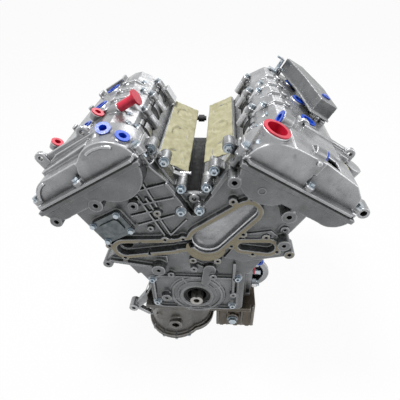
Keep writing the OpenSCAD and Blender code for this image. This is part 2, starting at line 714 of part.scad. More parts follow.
// Bolt barrels round the split line of a bank, as [u, y].
function split_bolts(side) = concat(
    [[-cam_u - bulge_in_r - 6, 0], [4, -bulge_out + 8], [outer_c + bulge_out_r + 6, 0]],
    [for (k = [0:3], u = [-cam_house_half_w - 6, cam_house_half_w + 6])
        [u, case_depth + 34 + k * (head_end(side) - case_depth - 60) / 3]]
);
module cover(side) {
    ys = bore_ys(side);
    w = cam_house_half_w;
    front = -bulge_out + 10;
    color(cast_light) from_front() on_bank(side) difference() {
        union() {
            difference() {
                union() {
                    cover_front(side, 0, front);
                    slab(case_depth - 6, head_end(side)) cover_outline(0);
                    cover_ribs(side);
                    if (side > 0) right_cover_features();
                    else left_cover_features();
                }
                cover_front(side, -wall, front + wall);
                slab(case_depth, head_end(side) - wall) cover_outline(-wall);
            }
            slab(front - 3, case_depth) intersection() {
                difference() {
                    bulge_outline(4);
                    bulge_outline(-wall);
                }
                rect(-200, split_v, 200, split_v + 9);
            }
            difference() {
                box(-w - 2, w + 6, case_depth, head_end(side), split_v, split_v + 8);
                box(-w + 6, w - 6, case_depth - 1, head_end(side) - 6, split_v - 1, split_v + 9);
            }
            for (b = split_bolts(side)) rod_z(b[0], b[1], 9, split_v, split_v + 16);
            for (y = ys) rod_z(0, y, well_d / 2 + 6, split_v, top_v + 3);
            if (side > 0) box(0, 26, -5, 36, top_v - 25, top_v - 3);
        }
        for (y = ys) rod_z(0, y, well_d / 2, split_v - 1, top_v + 10);
        for (y = ys) difference() {
            rod_z(0, y, well_d / 2 + 3.5, top_v + 3, top_v + 12);
            rod_z(0, y, 5, top_v + 2, top_v + 13);
        }
        for (b = split_bolts(side)) rod_z(b[0], b[1], 8.4, split_v + 16, split_v + 34);
        for (b = split_bolts(side)) rod_z(b[0], b[1], bolt_d / 2, split_v - 1, split_v + 20);
        if (side > 0) right_cover_cuts();
        else left_cover_cuts();
    }
}
// The part of a cover over the chain case; the outer half stands back a little.
module cover_front(side, grow, front) {
    foot = split_v - (grow < 0 ? 1 : 0);
    slab(front, case_depth + 6) intersection() {
        union() {
            disc(-cam_u, split_v, bulge_in_r + grow);
            if (side > 0) polygon([
                [-cam_u, foot], [-cam_u, split_v + 59 + grow], [2, split_v + 61 + grow], [2 + grow, foot]
            ]);
            else rect(-cam_u, foot, -14 + grow, split_v + 43 + grow);
        }
        rect(-200, foot, 200, split_v + 200);
    }
    slab(front + outer_back, case_depth + 6) intersection() {
        if (side > 0) polygon([
            [-4, foot], [-4, split_v + 60 + grow], [78, split_v + 51 + grow],
            [102 + grow / 2, split_v + 34 + grow], [outer_c + bulge_out_r + grow, foot]
        ]);
        else union() {
            disc(cam_u + 8, split_v, 43 + grow);
            rect(-24, foot, cam_u + 8, split_v + 42 + grow);
        }
        rect(-200, foot, 200, split_v + 200);
    }
}
module cover_outline(grow) {
    w = cam_house_half_w + grow;
    polygon([
        [-w, split_v - (grow < 0 ? 1 : 0)], [-w, split_v + 20], [-w + 22, top_v - 6 + grow],
        [-w + 40, top_v + grow], [w - 42, top_v + grow], [w - 18, top_v - 8 + grow],
        [w, split_v + 22], [w, split_v - (grow < 0 ? 1 : 0)]
    ]);
}
module cover_ribs(side) {
    ys = bore_ys(side);
    w = cam_house_half_w;
    for (y = [for (k = [0:5]) ys[0] + 26 + k * bore_pitch / 2]) if (y < head_end(side) - 30) {
        slab(y - 2.5, y + 2.5) polygon([
            [-w, split_v + 4], [-w - 1, split_v + 16], [-w + 19, top_v - 2],
            [-w + 36, top_v + 3], [-w + 60, top_v + 3], [-w + 60, top_v - 2], [-w + 26, top_v - 12]
        ]);
        rod_z(-w + 46, y, 7, top_v - 8, top_v + 7);
    }
    for (y = [for (k = [0:2]) ys[0] + 48 + k * bore_pitch]) if (y < head_end(side) - 8)
        rod_z(w - 44, y, 7, top_v - 8, top_v + 7);
}

// Points z inward by lean and to the front by dip, at a place on a bank.
module aim(at, lean, dip) { translate(at) rotate([dip, -lean, 0]) children(); }

// Filler neck, sensor boss, rail and ears of the right cover.
filler_u = -cam_u - 34;
filler_y = 10;
module on_filler() { aim([filler_u, filler_y, split_v + filler_h], 7, 5) children(); }
function rail_ears() = [[-14, 122], [96, 112]];
module upright_ear(u, y, top) {
    rod_y(u, top, 12, y - 5, y + 5);
    box(u - 12, u + 12, y - 5, y + 5, top_v - 30, top);
}
module right_cover_features() {
    on_filler() rod_z(0, 0, filler_neck_d / 2, 8 - filler_h, 0);
    for (e = rail_ears()) upright_ear(e[0], e[1], top_v - 2);
    slab(112, 122) polygon([
        [-14, top_v - 20], [-14, top_v + 4], [96, top_v + 2], [96, top_v - 34], [80, top_v - 34]
    ]);
    slab(88, 126) polygon([
        [-20, top_v - 12], [-20, top_v - 2], [90, top_v - 4], [90, top_v - 26], [70, top_v - 26]
    ]);
    rod_z(118, 108, 21, split_v, top_v - 16);
    rod_y(138, split_v + 7, 12, 4, 34);
    box(100, 138, 12, 30, split_v, split_v + 15);
    box(80, 120, 88, 128, split_v, split_v + 16);
    rod_x(16, top_v - 4, 15, -18, 4);
    rod_y(-12, top_v - 2, 4.5, -22, 10);
    rod_z(64, 232, 8, top_v - 14, top_v + 12);
    rod_x(75, top_v + 1, 14, -76, -54);
    for (p = box_posts()) rod_z(p[0], p[1], 5, top_v - 10, top_v + box_lift);
}
module right_cover_cuts() {
    on_filler() rod_z(0, 0, filler_d / 2, 16 - filler_h, 1);
    for (e = rail_ears()) rod_y(e[0], top_v - 2, 4.5, e[1] - 8, e[1] + 8);
    rod_x(16, top_v - 4, 10, -10, 5);
    rod_x(16, top_v - 4, 15.2, 4, 40);
    rod_y(138, split_v + 7, 6, 3, 26);
    rod_z(64, 232, 4.5, top_v - 4, top_v + 13);
    rod_x(75, top_v + 1, 10, -77, -66);
}

// Sensor pads, curved ribs, rail and ears of the left cover: place, lean, dip and radius.
function left_ports() = [
    [[-79, 24, top_v + 1], 35, 25, 13], [[-107, 8, top_v - 22], 56, 6, 13],
    [[-38, 118, top_v + 11], 60, 0, 12], [[66, 100, top_v + 7], 60, 0, 12]
];
red_port = [-77, 128, top_v - 4];
red_stem_r = 9.5;
plug_room = 0.4;
function left_ears() = [[-22, 60], [84, 56]];
module arc_rib(c, r, a0, a1) {
    intersection() {
        difference() {
            disc(c[0], c[1], r);
            disc(c[0], c[1], r - 5);
        }
        polygon(concat([c], [for (k = [0:4]) let (a = a0 + (a1 - a0) * k / 4)
            c + 2 * r * [cos(a), sin(a)]]));
    }
}
module left_cover_features() {
    for (p = left_ports()) aim(p[0], p[1], p[2]) rod_z(0, 0, p[3], -15, 0);
    aim(left_ports()[0][0], 35, 25) box(-15, 15, -24, 0, -22, -3);
    aim(left_ports()[1][0], 56, 6) box(-15, 15, -15, 15, -20, -4);
    for (e = left_ears()) upright_ear(e[0], e[1], top_v + 7);
    slab(56, 62) polygon([
        [-22, top_v - 12], [-22, top_v + 8], [84, top_v + 6], [84, top_v - 40], [64, top_v - 24]
    ]);
    slab(24, 62) polygon([
        [-30, top_v - 16], [-30, top_v - 5], [84, top_v - 10], [84, top_v - 34], [60, top_v - 28]
    ]);
    slab(-bulge_out + 6, -bulge_out + 12) arc_rib([-cam_u, split_v], bulge_in_r - 6, 74, 132);
    slab(-bulge_out + 13, -bulge_out + 19) arc_rib([cam_u + 4, split_v], 41, 20, 84);
    aim(red_port, 90, 0) rod_z(0, 0, 11, -22, 0);
    for (p = [[40, head_end(-1) - 30], [-30, head_end(-1) - 20]]) translate([p[0], p[1], top_v - 8])
        box(-3, 3, -22, 8, -10, 20);
    box(-30, 30, head_end(-1) - 28, head_end(-1) - 22, top_v - 4, top_v + 10);
}
module left_cover_cuts() {
    for (p = left_ports()) aim(p[0], p[1], p[2]) {
        rod_z(0, 0, p[3] - 4, -14, 1);
        rod_z(0, 0, p[3] + plug_room, 0.05, 8);
    }
    for (e = left_ears()) rod_y(e[0], top_v + 7, 4.5, e[1] - 8, e[1] + 8);
    aim(red_port, 90, 0) {
        rod_z(0, 0, 7, -18, 1);
        rod_z(0, 0, red_stem_r + plug_room, 0.05, 30);
    }
}
module cover_left() { cover(-1); }
module cover_right() { cover(1); }

// Outline of the chain case seen from the front.
module case_outline(inset) {
    round_rect(
        -case_half_w + inset, -skirt_depth + inset, case_half_w - inset, 130, 14
    );
    for (s = [-1, 1]) {
        out = s < 0 ? case_out_left : case_out_right;
        on_bank_2d(s) rect(-case_in + inset, 120, out - inset, split_v - 4 - inset);
        on_bank_2d(s) rect(-60, 40, out - 8 - inset, 200);
    }
    rect(-60, 100, 60, notch_z - 42 - inset);
}
// Bolt lugs that stand out from the edge of the notch flange.
module notch_lugs(side) {
    for (b = notch_bolts()) if (b[0] * side > 0)
        slot(b, b + 24 * [side * cos(bank_tilt), -sin(bank_tilt)], 10);
}
// The recessed bolt flange along both edges of the notch.
module notch_flange() {
    for (s = [-1, 1]) {
        on_bank_2d(s) rect(-flange_in, 200, -60, split_v - 3);
        notch_lugs(s);
    }
}
// Coolant pump chamber and the two coolant arms, as centre points.
volute_c = [26, 182];
outlet_c = [102, 259];
function left_arm() = [[-146, 152], [-46, 164]];
function right_arm() = [[98, 171], [146, 169]];
module volute_outline(grow) { taper_slot(volute_c, volute_r + grow, outlet_c, outlet_r + grow); }
module left_arm_outline(grow) {
    taper_slot(left_arm()[0], 17 + grow, left_arm()[1], 11 + grow);
}
module right_arm_outline(grow) {
    taper_slot(right_arm()[0], 10 + grow, right_arm()[1], 14 + grow);
}
// Bolt holes of the coolant pump face.
function pump_holes() = [
    [-23, 185], [-5, 123], [47, 124], [74, 170], [96, 203], [48, 224], [73, 283], [107, 290],
    [141, 196], [118, 149], [-60, 182], [-112, 172], [-178, 160], [-150, 126], [-96, 140], [166, 158]
];
module pump_face_2d() {
    volute_outline(gasket_w);
    left_arm_outline(gasket_w);
    right_arm_outline(gasket_w);
    slot([-46, 164], [26, 182], 20);
    slot([60, 190], [100, 168], 12);
    for (h = pump_holes()) disc(h[0], h[1], 8.5);
}
module pump_chambers_2d() {
    volute_outline(0);
    left_arm_outline(0);
    right_arm_outline(0);
}
// Bosses of the chain case: x, z, radius and how far they stand out from the wall.
function front_bosses() = [
    [-112, 270, 11, 16], [-69, 251, 8, 12], [0, 269, 11, -13], [-87, 208, 7, 8],
    [-78, 104, 15, 26], [-71, -6, 12, 14], [-56, 71, 8, 8], [-3, 103, 8, 18], [38, 80, 8, 18],
    [175, 187, 13, 24], [192, 150, 11, 12], [-192, 104, 11, 12], [176, 212, 9, 6], [84, 10, 8, 12]
];
function bank_bosses() = [
    [1, -109, 334, 12], [1, 11, 322, 14], [-1, 4, 336, 14], [-1, 97, 342, 12]
];
function notch_bolts() = [[-24, 293], [-51, 351], [-72, 376], [24, 297], [38, 334], [62, 380]];
function wall_bolts() = [[-24, 252], [11, 255], [-96, -30], [84, -34], [-100, 52], [92, 66]];
function case_bolts() = concat(notch_bolts(), wall_bolts());
module timing_cover() {
    color(cast_grey) from_front() difference() {
        union() {
            timing_shell();
            for (s = [-1, 1], b = split_bolts(s)) if (b[1] < case_depth)
                on_bank(s) rod_z(b[0], b[1], 9, split_v - 24, split_v);
        }
        for (b = case_bolts()) rod_y(b[0], b[1], bolt_d / 2, -1, case_depth + 1);
        for (b = notch_bolts()) rod_y(b[0], b[1], 10.2, -8, flange_back - 5);
        for (b = wall_bolts()) rod_y(b[0], b[1], 10.2, -8, wall_back - 4);
        for (b = bank_bosses()) on_bank(b[0]) rod_y(b[1], b[2], 4.5, -bulge_out - 4, 0);
        for (s = [-1, 1], b = split_bolts(s)) if (b[1] < case_depth)
            on_bank(s) rod_z(b[0], b[1], bolt_d / 2, split_v - 20, split_v + 1);
    }
}
module timing_shell() {
    difference() {
        union() {
            slab(wall_back, case_depth) {
                case_outline(0);
                for (s = [-1, 1]) on_bank_2d(s) {
                    bulge_body(0);
                    bulge_rim(4);
                }
            }
            slab(flange_back, case_depth) notch_flange();
            slab(flange_back, flange_back + 8) rect(-26, 200, 26, notch_z);
            slab(flange_back + 6, case_depth) rect(-26, 200, 26, notch_z - 16);
            for (s = [-1, 1]) on_bank(s) {
                slab(-bulge_out, wall_back + 3) bulge_body(-0.6);
                slab(-bulge_out - 2, wall_back + 3) bulge_rim(3.4);
            }
            slab(0, wall_back + 24) pump_face_2d();
            for (b = front_bosses()) rod_y(b[0], b[1], b[2], wall_back - b[3], case_depth - 14);
            for (b = notch_bolts()) rod_y(b[0], b[1], 11, flange_back - 5, case_depth);
            for (b = wall_bolts()) rod_y(b[0], b[1], 11, wall_back - 4, case_depth);
            for (b = bank_bosses()) on_bank(b[0]) rod_y(b[1], b[2], b[3], -bulge_out - 3, case_depth - 10);
            lattice();
            crank_boss();
            arm_webs();
            on_bank(-1) slab(wall_back - 8, wall_back + 1) plate_2d(0);
        }
        chain_space();
        slab(-1, volute_depth) volute_outline(0);
        slab(-1, volute_depth - 10) left_arm_outline(0);
        slab(-1, volute_depth - 10) right_arm_outline(0);
        slab(-1, 16) taper_slot([-60, 162], 9, volute_c, 12);
        rod_y(left_arm()[0][0], left_arm()[0][1], 13, 0, case_depth + 1);
        for (h = pump_holes()) rod_y(h[0], h[1], pump_hole_d / 2, -1, 14);
        for (b = front_bosses())
            rod_y(b[0], b[1], b[2] > 10 ? 4 : 2.5, wall_back - b[3] - 1, wall_back - b[3] + 20);
        rod_y(0, 0, seal_d / 2 + seat_gap, seal_back - 1, case_depth - 20);
        on_bank(-1) for (p = plate_bolts()) rod_y(p[0], p[1], 3, wall_back - 9, wall_back + 4);
    }
}
// The hollow in which the chains run, open to the rear and to the head covers.
module chain_hollow_2d(centre_w) {
    difference() {
        union() {
            round_rect(-case_half_w + 14, -skirt_depth + 14, case_half_w - 14, 150, 12);
            for (s = [-1, 1]) on_bank_2d(s) rect(
                -cam_u - bulge_in_r + wall + 3, 60, (s < 0 ? case_out_left : case_out_right) - 12,
                split_v + 1
            );
        }
        rect(-centre_w, 252 - centre_w / 4, centre_w, 420);
        for (b = case_bolts()) disc(b[0], b[1], 13);
    }
}
module chain_space() {
    slab(wall_back + wall, volute_depth + wall + 1) difference() {
        chain_hollow_2d(60);
        volute_outline(wall);
        left_arm_outline(wall);
        right_arm_outline(wall);
    }
    slab(volute_depth + wall, case_depth + 1) difference() {
        chain_hollow_2d(18);
        disc(left_arm()[0][0], left_arm()[0][1], 18);
    }
    for (s = [-1, 1]) on_bank(s) slab(-bulge_out + wall, case_depth + 1) intersection() {
        bulge_outline(-wall);
        rect(-200, split_v - 200, 200, split_v + 1);
    }
}
// Stiffening bars on the left wall, from end to end.
function lattice_bars() = [
    [[-104, 299], [-47, 317]], [[-96, 269], [-37, 285]], [[-121, 239], [-74, 254]],
    [[-110, 216], [-38, 244]], [[-91, 318], [-69, 264]], [[-105, 288], [-61, 192]],
    [[-88, 283], [-48, 191]], [[-15, 232], [-48, 191]], [[-84, 362], [-44, 320]]
];
module lattice() {
    slab(wall_back - 7, wall_back + 1) for (l = lattice_bars()) slot(l[0], l[1], 1.8);
    slab(wall_back - 11, wall_back + 1) slot([-46, 318], [-26, 288], 3);
    slab(wall_back - 11, wall_back + 1) slot([66, 352], [34, 296], 4);
}
module crank_boss() {
    rod_y(0, 0, seal_d / 2 + 9, seal_back, case_depth - 16);
    slab(wall_back - 3, wall_back + 1) circle(66);
    slab(wall_back - 8, wall_back + 1) slot([-3, 103], [38, 80], 9);
    slab(wall_back - 12, wall_back + 1) taper_slot([30, 96], 14, [20, 52], 9);
    slab(wall_back - 10, wall_back + 1) rect(80, 5, 86, 116);
    slab(wall_back - 7, wall_back + 1) difference() {
        round_rect(-100, -50, 96, 66, 20);
        round_rect(-96, -46, 91, 62, 17);
    }
    slab(wall_back - 5, wall_back + 1) for (a = [-60, -20, 30, 110, 160, 215])
        rotate(a) rect(-1.5, 36, 1.5, 64);
}
module arm_webs() {
    slab(wall_back - 6, wall_back + 22) {
        polygon([[-190, 104], [-78, 96], [-60, 110], [-60, 130], [-180, 126]]);
        polygon([[60, 130], [100, 120], [192, 142], [186, 176], [150, 210], [100, 200]]);
        slot([-192, 104], [-170, 128], 8);
    }
    for (d = [0, 10]) slab(wall_back - 10 - d / 2, wall_back + 2)
        polygon([[-186, 108 + d], [-86, 92 + d], [-80, 95 + d], [-184, 112 + d]]);
}

// Steel plate over the side opening of the chain case.
plate_c = [36, 264];
plate_size = [72, 58];
module plate_2d(inset) {
    w = plate_size[0] / 2 - inset;
    h = plate_size[1] / 2 - inset;
    round_rect(plate_c[0] - w, plate_c[1] - h, plate_c[0] + w, plate_c[1] + h, 9);
}
function plate_bolts() = [
    for (i = [-1, 1], j = [-1, 1]) plate_c + [i * (plate_size[0] / 2 - 6), j * (plate_size[1] / 2 - 6)]
];
module steel_plate() {
    color("slategray") from_front() on_bank(-1) difference() {
        union() {
            slab(wall_back - 11, wall_back - 8) plate_2d(0);
            slab(wall_back - 14, wall_back - 10) plate_2d(12);
        }
        for (p = plate_bolts()) rod_y(p[0], p[1], 3.4, wall_back - 20, wall_back);
    }
}

module bolt_y(x, z, y, length, flats) {
    slab(y - 7, y - 1.4) hex_2d(x, z, flats);
    rod_y(x, z, flats * 0.78, y - 1.6, y);
    rod_y(x, z, bolt_d / 2 - 0.1, y - 1, y + length);
}
module case_bolt(at, seat) {
    difference() {
        bolt_y(at[0], at[1], seat, case_depth - seat - 6, bolt_flats);
        rod_y(at[0], at[1], 3.2, seat - 8, seat - 4);
    }
}
module case_bolts_node() {
    color("lightsteelblue") from_front() {
        for (b = notch_bolts()) case_bolt(b, flange_back - 5);
        for (b = wall_bolts()) case_bolt(b, wall_back - 4);
    }
}
module cover_bolts() {
    color("lightsteelblue") from_front() for (s = [-1, 1], b = split_bolts(s)) on_bank(s) {
        rod_z(b[0], b[1], bolt_d / 2 - 0.1, split_v - 10, split_v + 17);
        rod_z(b[0], b[1], 8, split_v + 16, split_v + 17.6);
        translate([b[0], b[1], split_v + 17]) cylinder(d = 11.5, h = 6, $fn = 6);
    }
}
module plate_bolts_node() {
    color("lightsteelblue") from_front() on_bank(-1) for (p = plate_bolts()) {
        rod_y(p[0], p[1], 2.9, wall_back - 12, wall_back + 3);
        rod_y(p[0], p[1], 7, wall_back - 12.4, wall_back - 11);
        slab(wall_back - 17, wall_back - 12) hex_2d(p[0], p[1], 10);
    }
}

module front_seal() {
    color("black") from_front() difference() {
        rod_y(0, 0, seal_d / 2, seal_back, seal_back + 9);
        rod_y(0, 0, seal_in_d / 2, seal_back - 1, seal_back + 10);
        difference() {
            rod_y(0, 0, seal_d / 2 - 3, seal_back - 1, seal_back + 2);
            rod_y(0, 0, seal_in_d / 2 + 2, seal_back - 2, seal_back + 3);
        }
    }
}

drain_at = [87, -103];
// Upper sump: a flat rail, a deep casting under the front left and a shallow right part.
module upper_sump() {
    rail_w = skirt_half_w + 12;
    color(cast_grey) from_front() difference() {
        union() {
            box(-rail_w, rail_w, 14, block_end, -skirt_depth - 12, -skirt_depth);
            translate([0, 0, -sump_flange_z]) linear_extrude(sump_flange_z - skirt_depth)
                bowl_2d(-9);
            translate([0, 0, -sump_flange_z]) linear_extrude(9) bowl_2d(0);
            rod_y(-58, -124, 17, 2, 60);
            rod_y(-100, -116, 12, 20, 60);
            box(46, skirt_half_w + 24, 26, 150, -sump_side_z, -skirt_depth);
            for (x = [48, 72, skirt_half_w - 10, skirt_half_w + 16]) box(x, x + 5, 20, 150, -sump_side_z + 8, -skirt_depth);
            rod_y(drain_at[0], drain_at[1], 15, 16, 60);
            for (x = [60, 96, skirt_half_w + 8]) rod_z(x, 34, 9, -sump_side_z - 4, -skirt_depth);
            for (b = rail_bolts()) rod_z(b[0], b[1], 9, -skirt_depth - 19, -skirt_depth);
            box(60, 112, 140, block_end, -110, -skirt_depth);
            intersection() {
                slab(block_end - bell_t, block_end) circle(bell_r);
                rect_block(-160, 160, -150, -skirt_depth);
            }
        }
        translate([0, 0, -sump_flange_z - 1]) linear_extrude(sump_flange_z - skirt_depth - 11) bowl_2d(-15);
        box(-102, 102, 60, block_end - 22, -skirt_depth - 20, -skirt_depth + 1);
        rod_y(-58, -124, 9, 0, 22);
        rod_y(drain_at[0], drain_at[1], drain_d / 2, 10, 40);
        for (b = rail_bolts()) rod_z(b[0], b[1], bolt_d / 2, -skirt_depth - 30, -skirt_depth + 1);
        for (a = [-104, 104]) rotate([0, a, 0])
            rod_y(0, bell_bolt_r, bell_hole_d / 2, block_end - bell_t - 1, block_end + 1);
        for (p = pan_bolts()) rod_z(p[0], p[1], 3, -sump_flange_z - 1, -sump_flange_z + 10);
    }
}
// Bolts of the rail under the block, as [x, y].
function rail_bolts() = concat(
    [for (y = [200 : 58 : 374]) [skirt_half_w + 3, y]], [for (y = [350, 388]) [-skirt_half_w - 3, y]]
);
// Plan view of the lower sump flange: a round nose under the front left.
module bowl_2d(grow) {
    disc(-66, 84, 78 + grow);
    disc(-24, 92, 62 + grow);
    polygon([
        [-144 - grow, 84], [38 + grow, 92], [92 + grow, 170], [92 + grow, 330 + grow],
        [-144 - grow, 330 + grow]
    ]);
}
function pan_bolts() = [
    for (a = [-170 : 28 : -30]) [-66 + 73 * cos(a), 84 + 73 * sin(a)],
    for (y = [130 : 48 : 324]) [-139, y], for (y = [184 : 46 : 324]) [87, y],
    for (x = [-96 : 48 : 60]) [x, 325]
];
module lower_pan() {
    color("dimgray") from_front() difference() {
        union() {
            translate([0, 0, -sump_flange_z - 3]) linear_extrude(3 - 0.1) bowl_2d(-1);
            translate([0, 0, -rest_z]) linear_extrude(rest_z - sump_flange_z - 2) bowl_2d(-26);
        }
        translate([0, 0, -rest_z + 3]) linear_extrude(rest_z - sump_flange_z) bowl_2d(-29);
        for (p = pan_bolts()) rod_z(p[0], p[1], 3.2, -sump_flange_z - 4, -sump_flange_z + 1);
    }
}
module sump_bolts() {
    color("lightsteelblue") from_front() {
        for (p = pan_bolts()) {
            rod_z(p[0], p[1], 2.9, -sump_flange_z - 4, -sump_flange_z + 8);
            translate([p[0], p[1], -sump_flange_z - 8]) cylinder(d = 11, h = 5, $fn = 6);
        }
        for (b = rail_bolts()) {
            rod_z(b[0], b[1], bolt_d / 2 - 0.1, -skirt_depth - 20, -skirt_depth + 6);
            translate([b[0], b[1], -skirt_depth - 25]) cylinder(d = 13.5, h = 6, $fn = 6);
        }
    }
}
module drain_plug() {
    color("lightsteelblue") from_front() {
        rod_y(drain_at[0], drain_at[1], drain_d / 2 - 0.1, 14, 36);
        rod_y(drain_at[0], drain_at[1], 12, 13, 15.9);
        slab(6, 13.2) hex_2d(drain_at[0], drain_at[1], 18);
    }
}

module valley_plate() {
    color("black") from_front() union() {
        box(-41, 41, case_depth + 14, 404, valley_z + 3.2, valley_z + 6);
        for (x = [-26, 0, 26]) box(x - 2, x + 2, case_depth + 20, 398, valley_z + 5, valley_z + 9);
    }
}
// Sensor place as [y, z]; pipe place as [x, z].
sensor_at = [350, 290];
pipe_at = [-27, 288];
pipe_y1 = case_depth + 20.5;
module valley_sensor() {
    color("black") from_front() {
        rod_x(sensor_at[0], sensor_at[1], 5, -38, -11);
        rod_x(sensor_at[0], sensor_at[1], 9, -12, 3);
        rod_x(sensor_at[0], sensor_at[1], 6, 2, 8);
    }
}
module coolant_pipe() {
    y0 = case_depth + 12.2;
    color("silver") from_front() difference() {
        union() {
            rod_y(pipe_at[0], pipe_at[1], 12, y0, pipe_y1 - 0.3);
            rod_x(y0 + 4.2, pipe_at[1] + 10, 4, pipe_at[0] - 10, -8);
        }
        rod_y(pipe_at[0], pipe_at[1], 8, y0 - 1, pipe_y1 - 3);
    }
}
module tape(side) {
    y0 = left_right(side) - bore_pitch / 2 + 18;
    color("khaki") from_front() on_intake(side)
        box(-intake_w / 2 - 2, intake_w / 2 - 2, y0, y0 + 3 * bore_pitch - 12, 0.05, tape_t);
}
module tape_left() { tape(-1); }
module tape_right() { tape(1); }

// A shipping plug: flange with a hollow stem under it.
module plug(hole_r, flange_r, depth) {
    difference() {
        union() {
            translate([0, 0, -depth]) cylinder(r = hole_r - plug_gap, h = depth + 1);
            translate([0, 0, 0.1]) cylinder(r = flange_r, h = 2.4);
        }
        translate([0, 0, -depth + 2]) cylinder(r = hole_r - plug_gap - 2, h = depth + 2);
    }
}
module filler_plug() {
    color("crimson") from_front() on_bank(1) on_filler() plug(filler_d / 2, filler_neck_d / 2 - 1, 22);
}
module red_plug() {
    color("crimson") from_front() on_bank(-1) aim(red_port, 90, 0) {
        translate([0, 0, 0.1]) cylinder(r = red_stem_r, h = 42);
        translate([0, 0, 38]) cylinder(r = 16, h = 4);
        translate([0, 0, -14]) cylinder(r = 7 - plug_gap, h = 15);
    }
}
module port_plug(n) {
    p = left_ports()[n];
    on_bank(-1) aim(p[0], p[1], p[2]) plug(p[3] - 4, p[3], 11);
}
module red_rings() {
    color("crimson") from_front() for (n = [2, 3]) port_plug(n);
}
module blue_plugs() {
    color("royalblue") from_front() {
        for (n = [0, 1]) port_plug(n);
        on_bank(1) {
            translate([4, 16, top_v - 4]) rotate([0, 90, 0]) plug(10, 14.6, 8);
            translate([64, 232, top_v + 12]) plug(4.5, 8, 10);
            translate([-76, 75, top_v + 1]) rotate([0, -90, 0]) plug(10, 14, 8);
            translate([34, 226, top_v + box_lift + 34]) plug(7, 10, 2.5);
        }
        translate([side_port[0], 60, side_port[1]]) rotate([90, 0, 0]) plug(7, 10, 10);
    }
}
module well_plugs() {
    color("royalblue") from_front() for (s = [1, -1]) on_bank(s) for (y = bore_ys(s))
        translate([0, y, top_v + 3]) plug(well_d / 2, well_d / 2 + 3, 14);
}

module baffle_box() {
    color(cast_grey) from_front() on_bank(1) difference() {
        union() {
            translate([0, 0, top_v + box_lift]) linear_extrude(34) box_plan(0);
            translate([0, 0, top_v + box_lift]) linear_extrude(4) box_plan(3);
        }
        translate([0, 0, top_v + box_lift - 1]) linear_extrude(32) box_plan(-3);
        translate([34, 226, top_v + 20]) cylinder(r = 7, h = 40);
    }
}
box_lift = 9;
function box_posts() = [[33, 192], [51, 280], [-33, 396], [12, 398]];
module box_plan(grow) {
    polygon([
        [12 - grow, 190 - grow], [54 + grow, 190 - grow], [50 + grow, 300], [12 + grow, 400 + grow],
        [-34 - grow, 400 + grow], [-4 - grow, 300]
    ]);
}
module hanger() {
    color("gainsboro") from_front() on_bank(1) difference() {
        union() {
            box(-44, -40, 388, 409, top_v, top_v + 36);
            box(-60, -40, 388, 409, top_v, top_v + 4);
            box(-58, -40, 392, 402, top_v + 32, top_v + 36);
        }
        rod_x(397, top_v + 20, 7, -50, -30);
    }
}

// Round flanged housing on the right side of the block.
side_c = [skirt_half_w + 4, 8];
side_port = [skirt_half_w + 25, 63];
module side_plan(grow) { disc(side_c[0], side_c[1], 50 + grow); }
module side_housing() {
    color(cast_light) from_front() difference() {
        union() {
            slab(72, 80) side_plan(0);
            slab(72, 114) side_plan(-8);
            rod_y(side_port[0], side_port[1], 12, 60, 96);
        }
        slab(60, 108) side_plan(-14);
        rod_y(side_port[0], side_port[1], 7, 59, 84);
        box(0, side_seat_x, 50, 200, -100, 100);
    }
}
module side_cover() {
    color("gainsboro") from_front() {
        rod_x(84, 2, 9, side_seat_x, side_seat_x + 22);
        rod_x(84, 26, 6, side_seat_x, side_seat_x + 16);
    }
}
module left_bracket() {
    foot = -side_seat_x;
    ear = [foot - 41, -104];
    color(cast_light) from_front() difference() {
        union() {
            slab(42, 54) polygon([
                [-case_half_w, 26], [-case_half_w, -10], [foot, -54], [foot, -80], [foot - 29, -112],
                [foot - 35, -92], [foot - 7, -50]
            ]);
            slab(42, 54) slot(ear, [foot - 5, -134], 5);
            rod_y(ear[0], ear[1], 12, 34, 64);
        }
        rod_y(ear[0], ear[1], 5, 30, 80);
        slab(40, 60) polygon([[-115, 8], [-115, -12], [foot - 3, -50], [foot - 9, -60]]);
    }
}

block();
main_caps();
rear_seal_housing();
rear_seal();
upper_sump();
lower_pan();
drain_plug();
head_left();
head_right();
head_gaskets();
cam_housing_left();
cam_housing_right();
cam_caps_left();
cam_caps_right();
cover_left();
cover_right();
timing_cover();
steel_plate();
front_seal();
crankshaft();
crank_sprocket();
camshaft_in_left();
camshaft_ex_left();
camshaft_in_right();
camshaft_ex_right();
phaser_in_left();
phaser_ex_left();
phaser_in_right();
phaser_ex_right();
primary_chains();
secondary_chains();
chain_guides();
piston_1();
piston_2();
piston_3();
piston_4();
piston_5();
piston_6();
intake_valves();
exhaust_valves();
case_bolts_node();  // case_bolts
cover_bolts();
plate_bolts_node();  // plate_bolts
sump_bolts();
valley_plate();
valley_sensor();
coolant_pipe();
tape_left();
tape_right();
filler_plug();
red_plug();
red_rings();
blue_plugs();
well_plugs();
baffle_box();
hanger();
side_housing();
side_cover();
left_bracket();
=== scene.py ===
"""Looks of the bare car engine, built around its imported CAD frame. Metres, +Z up, +Y to the rear."""

import json
import math
import random

import bmesh
import bpy
from mathutils import Matrix, Vector


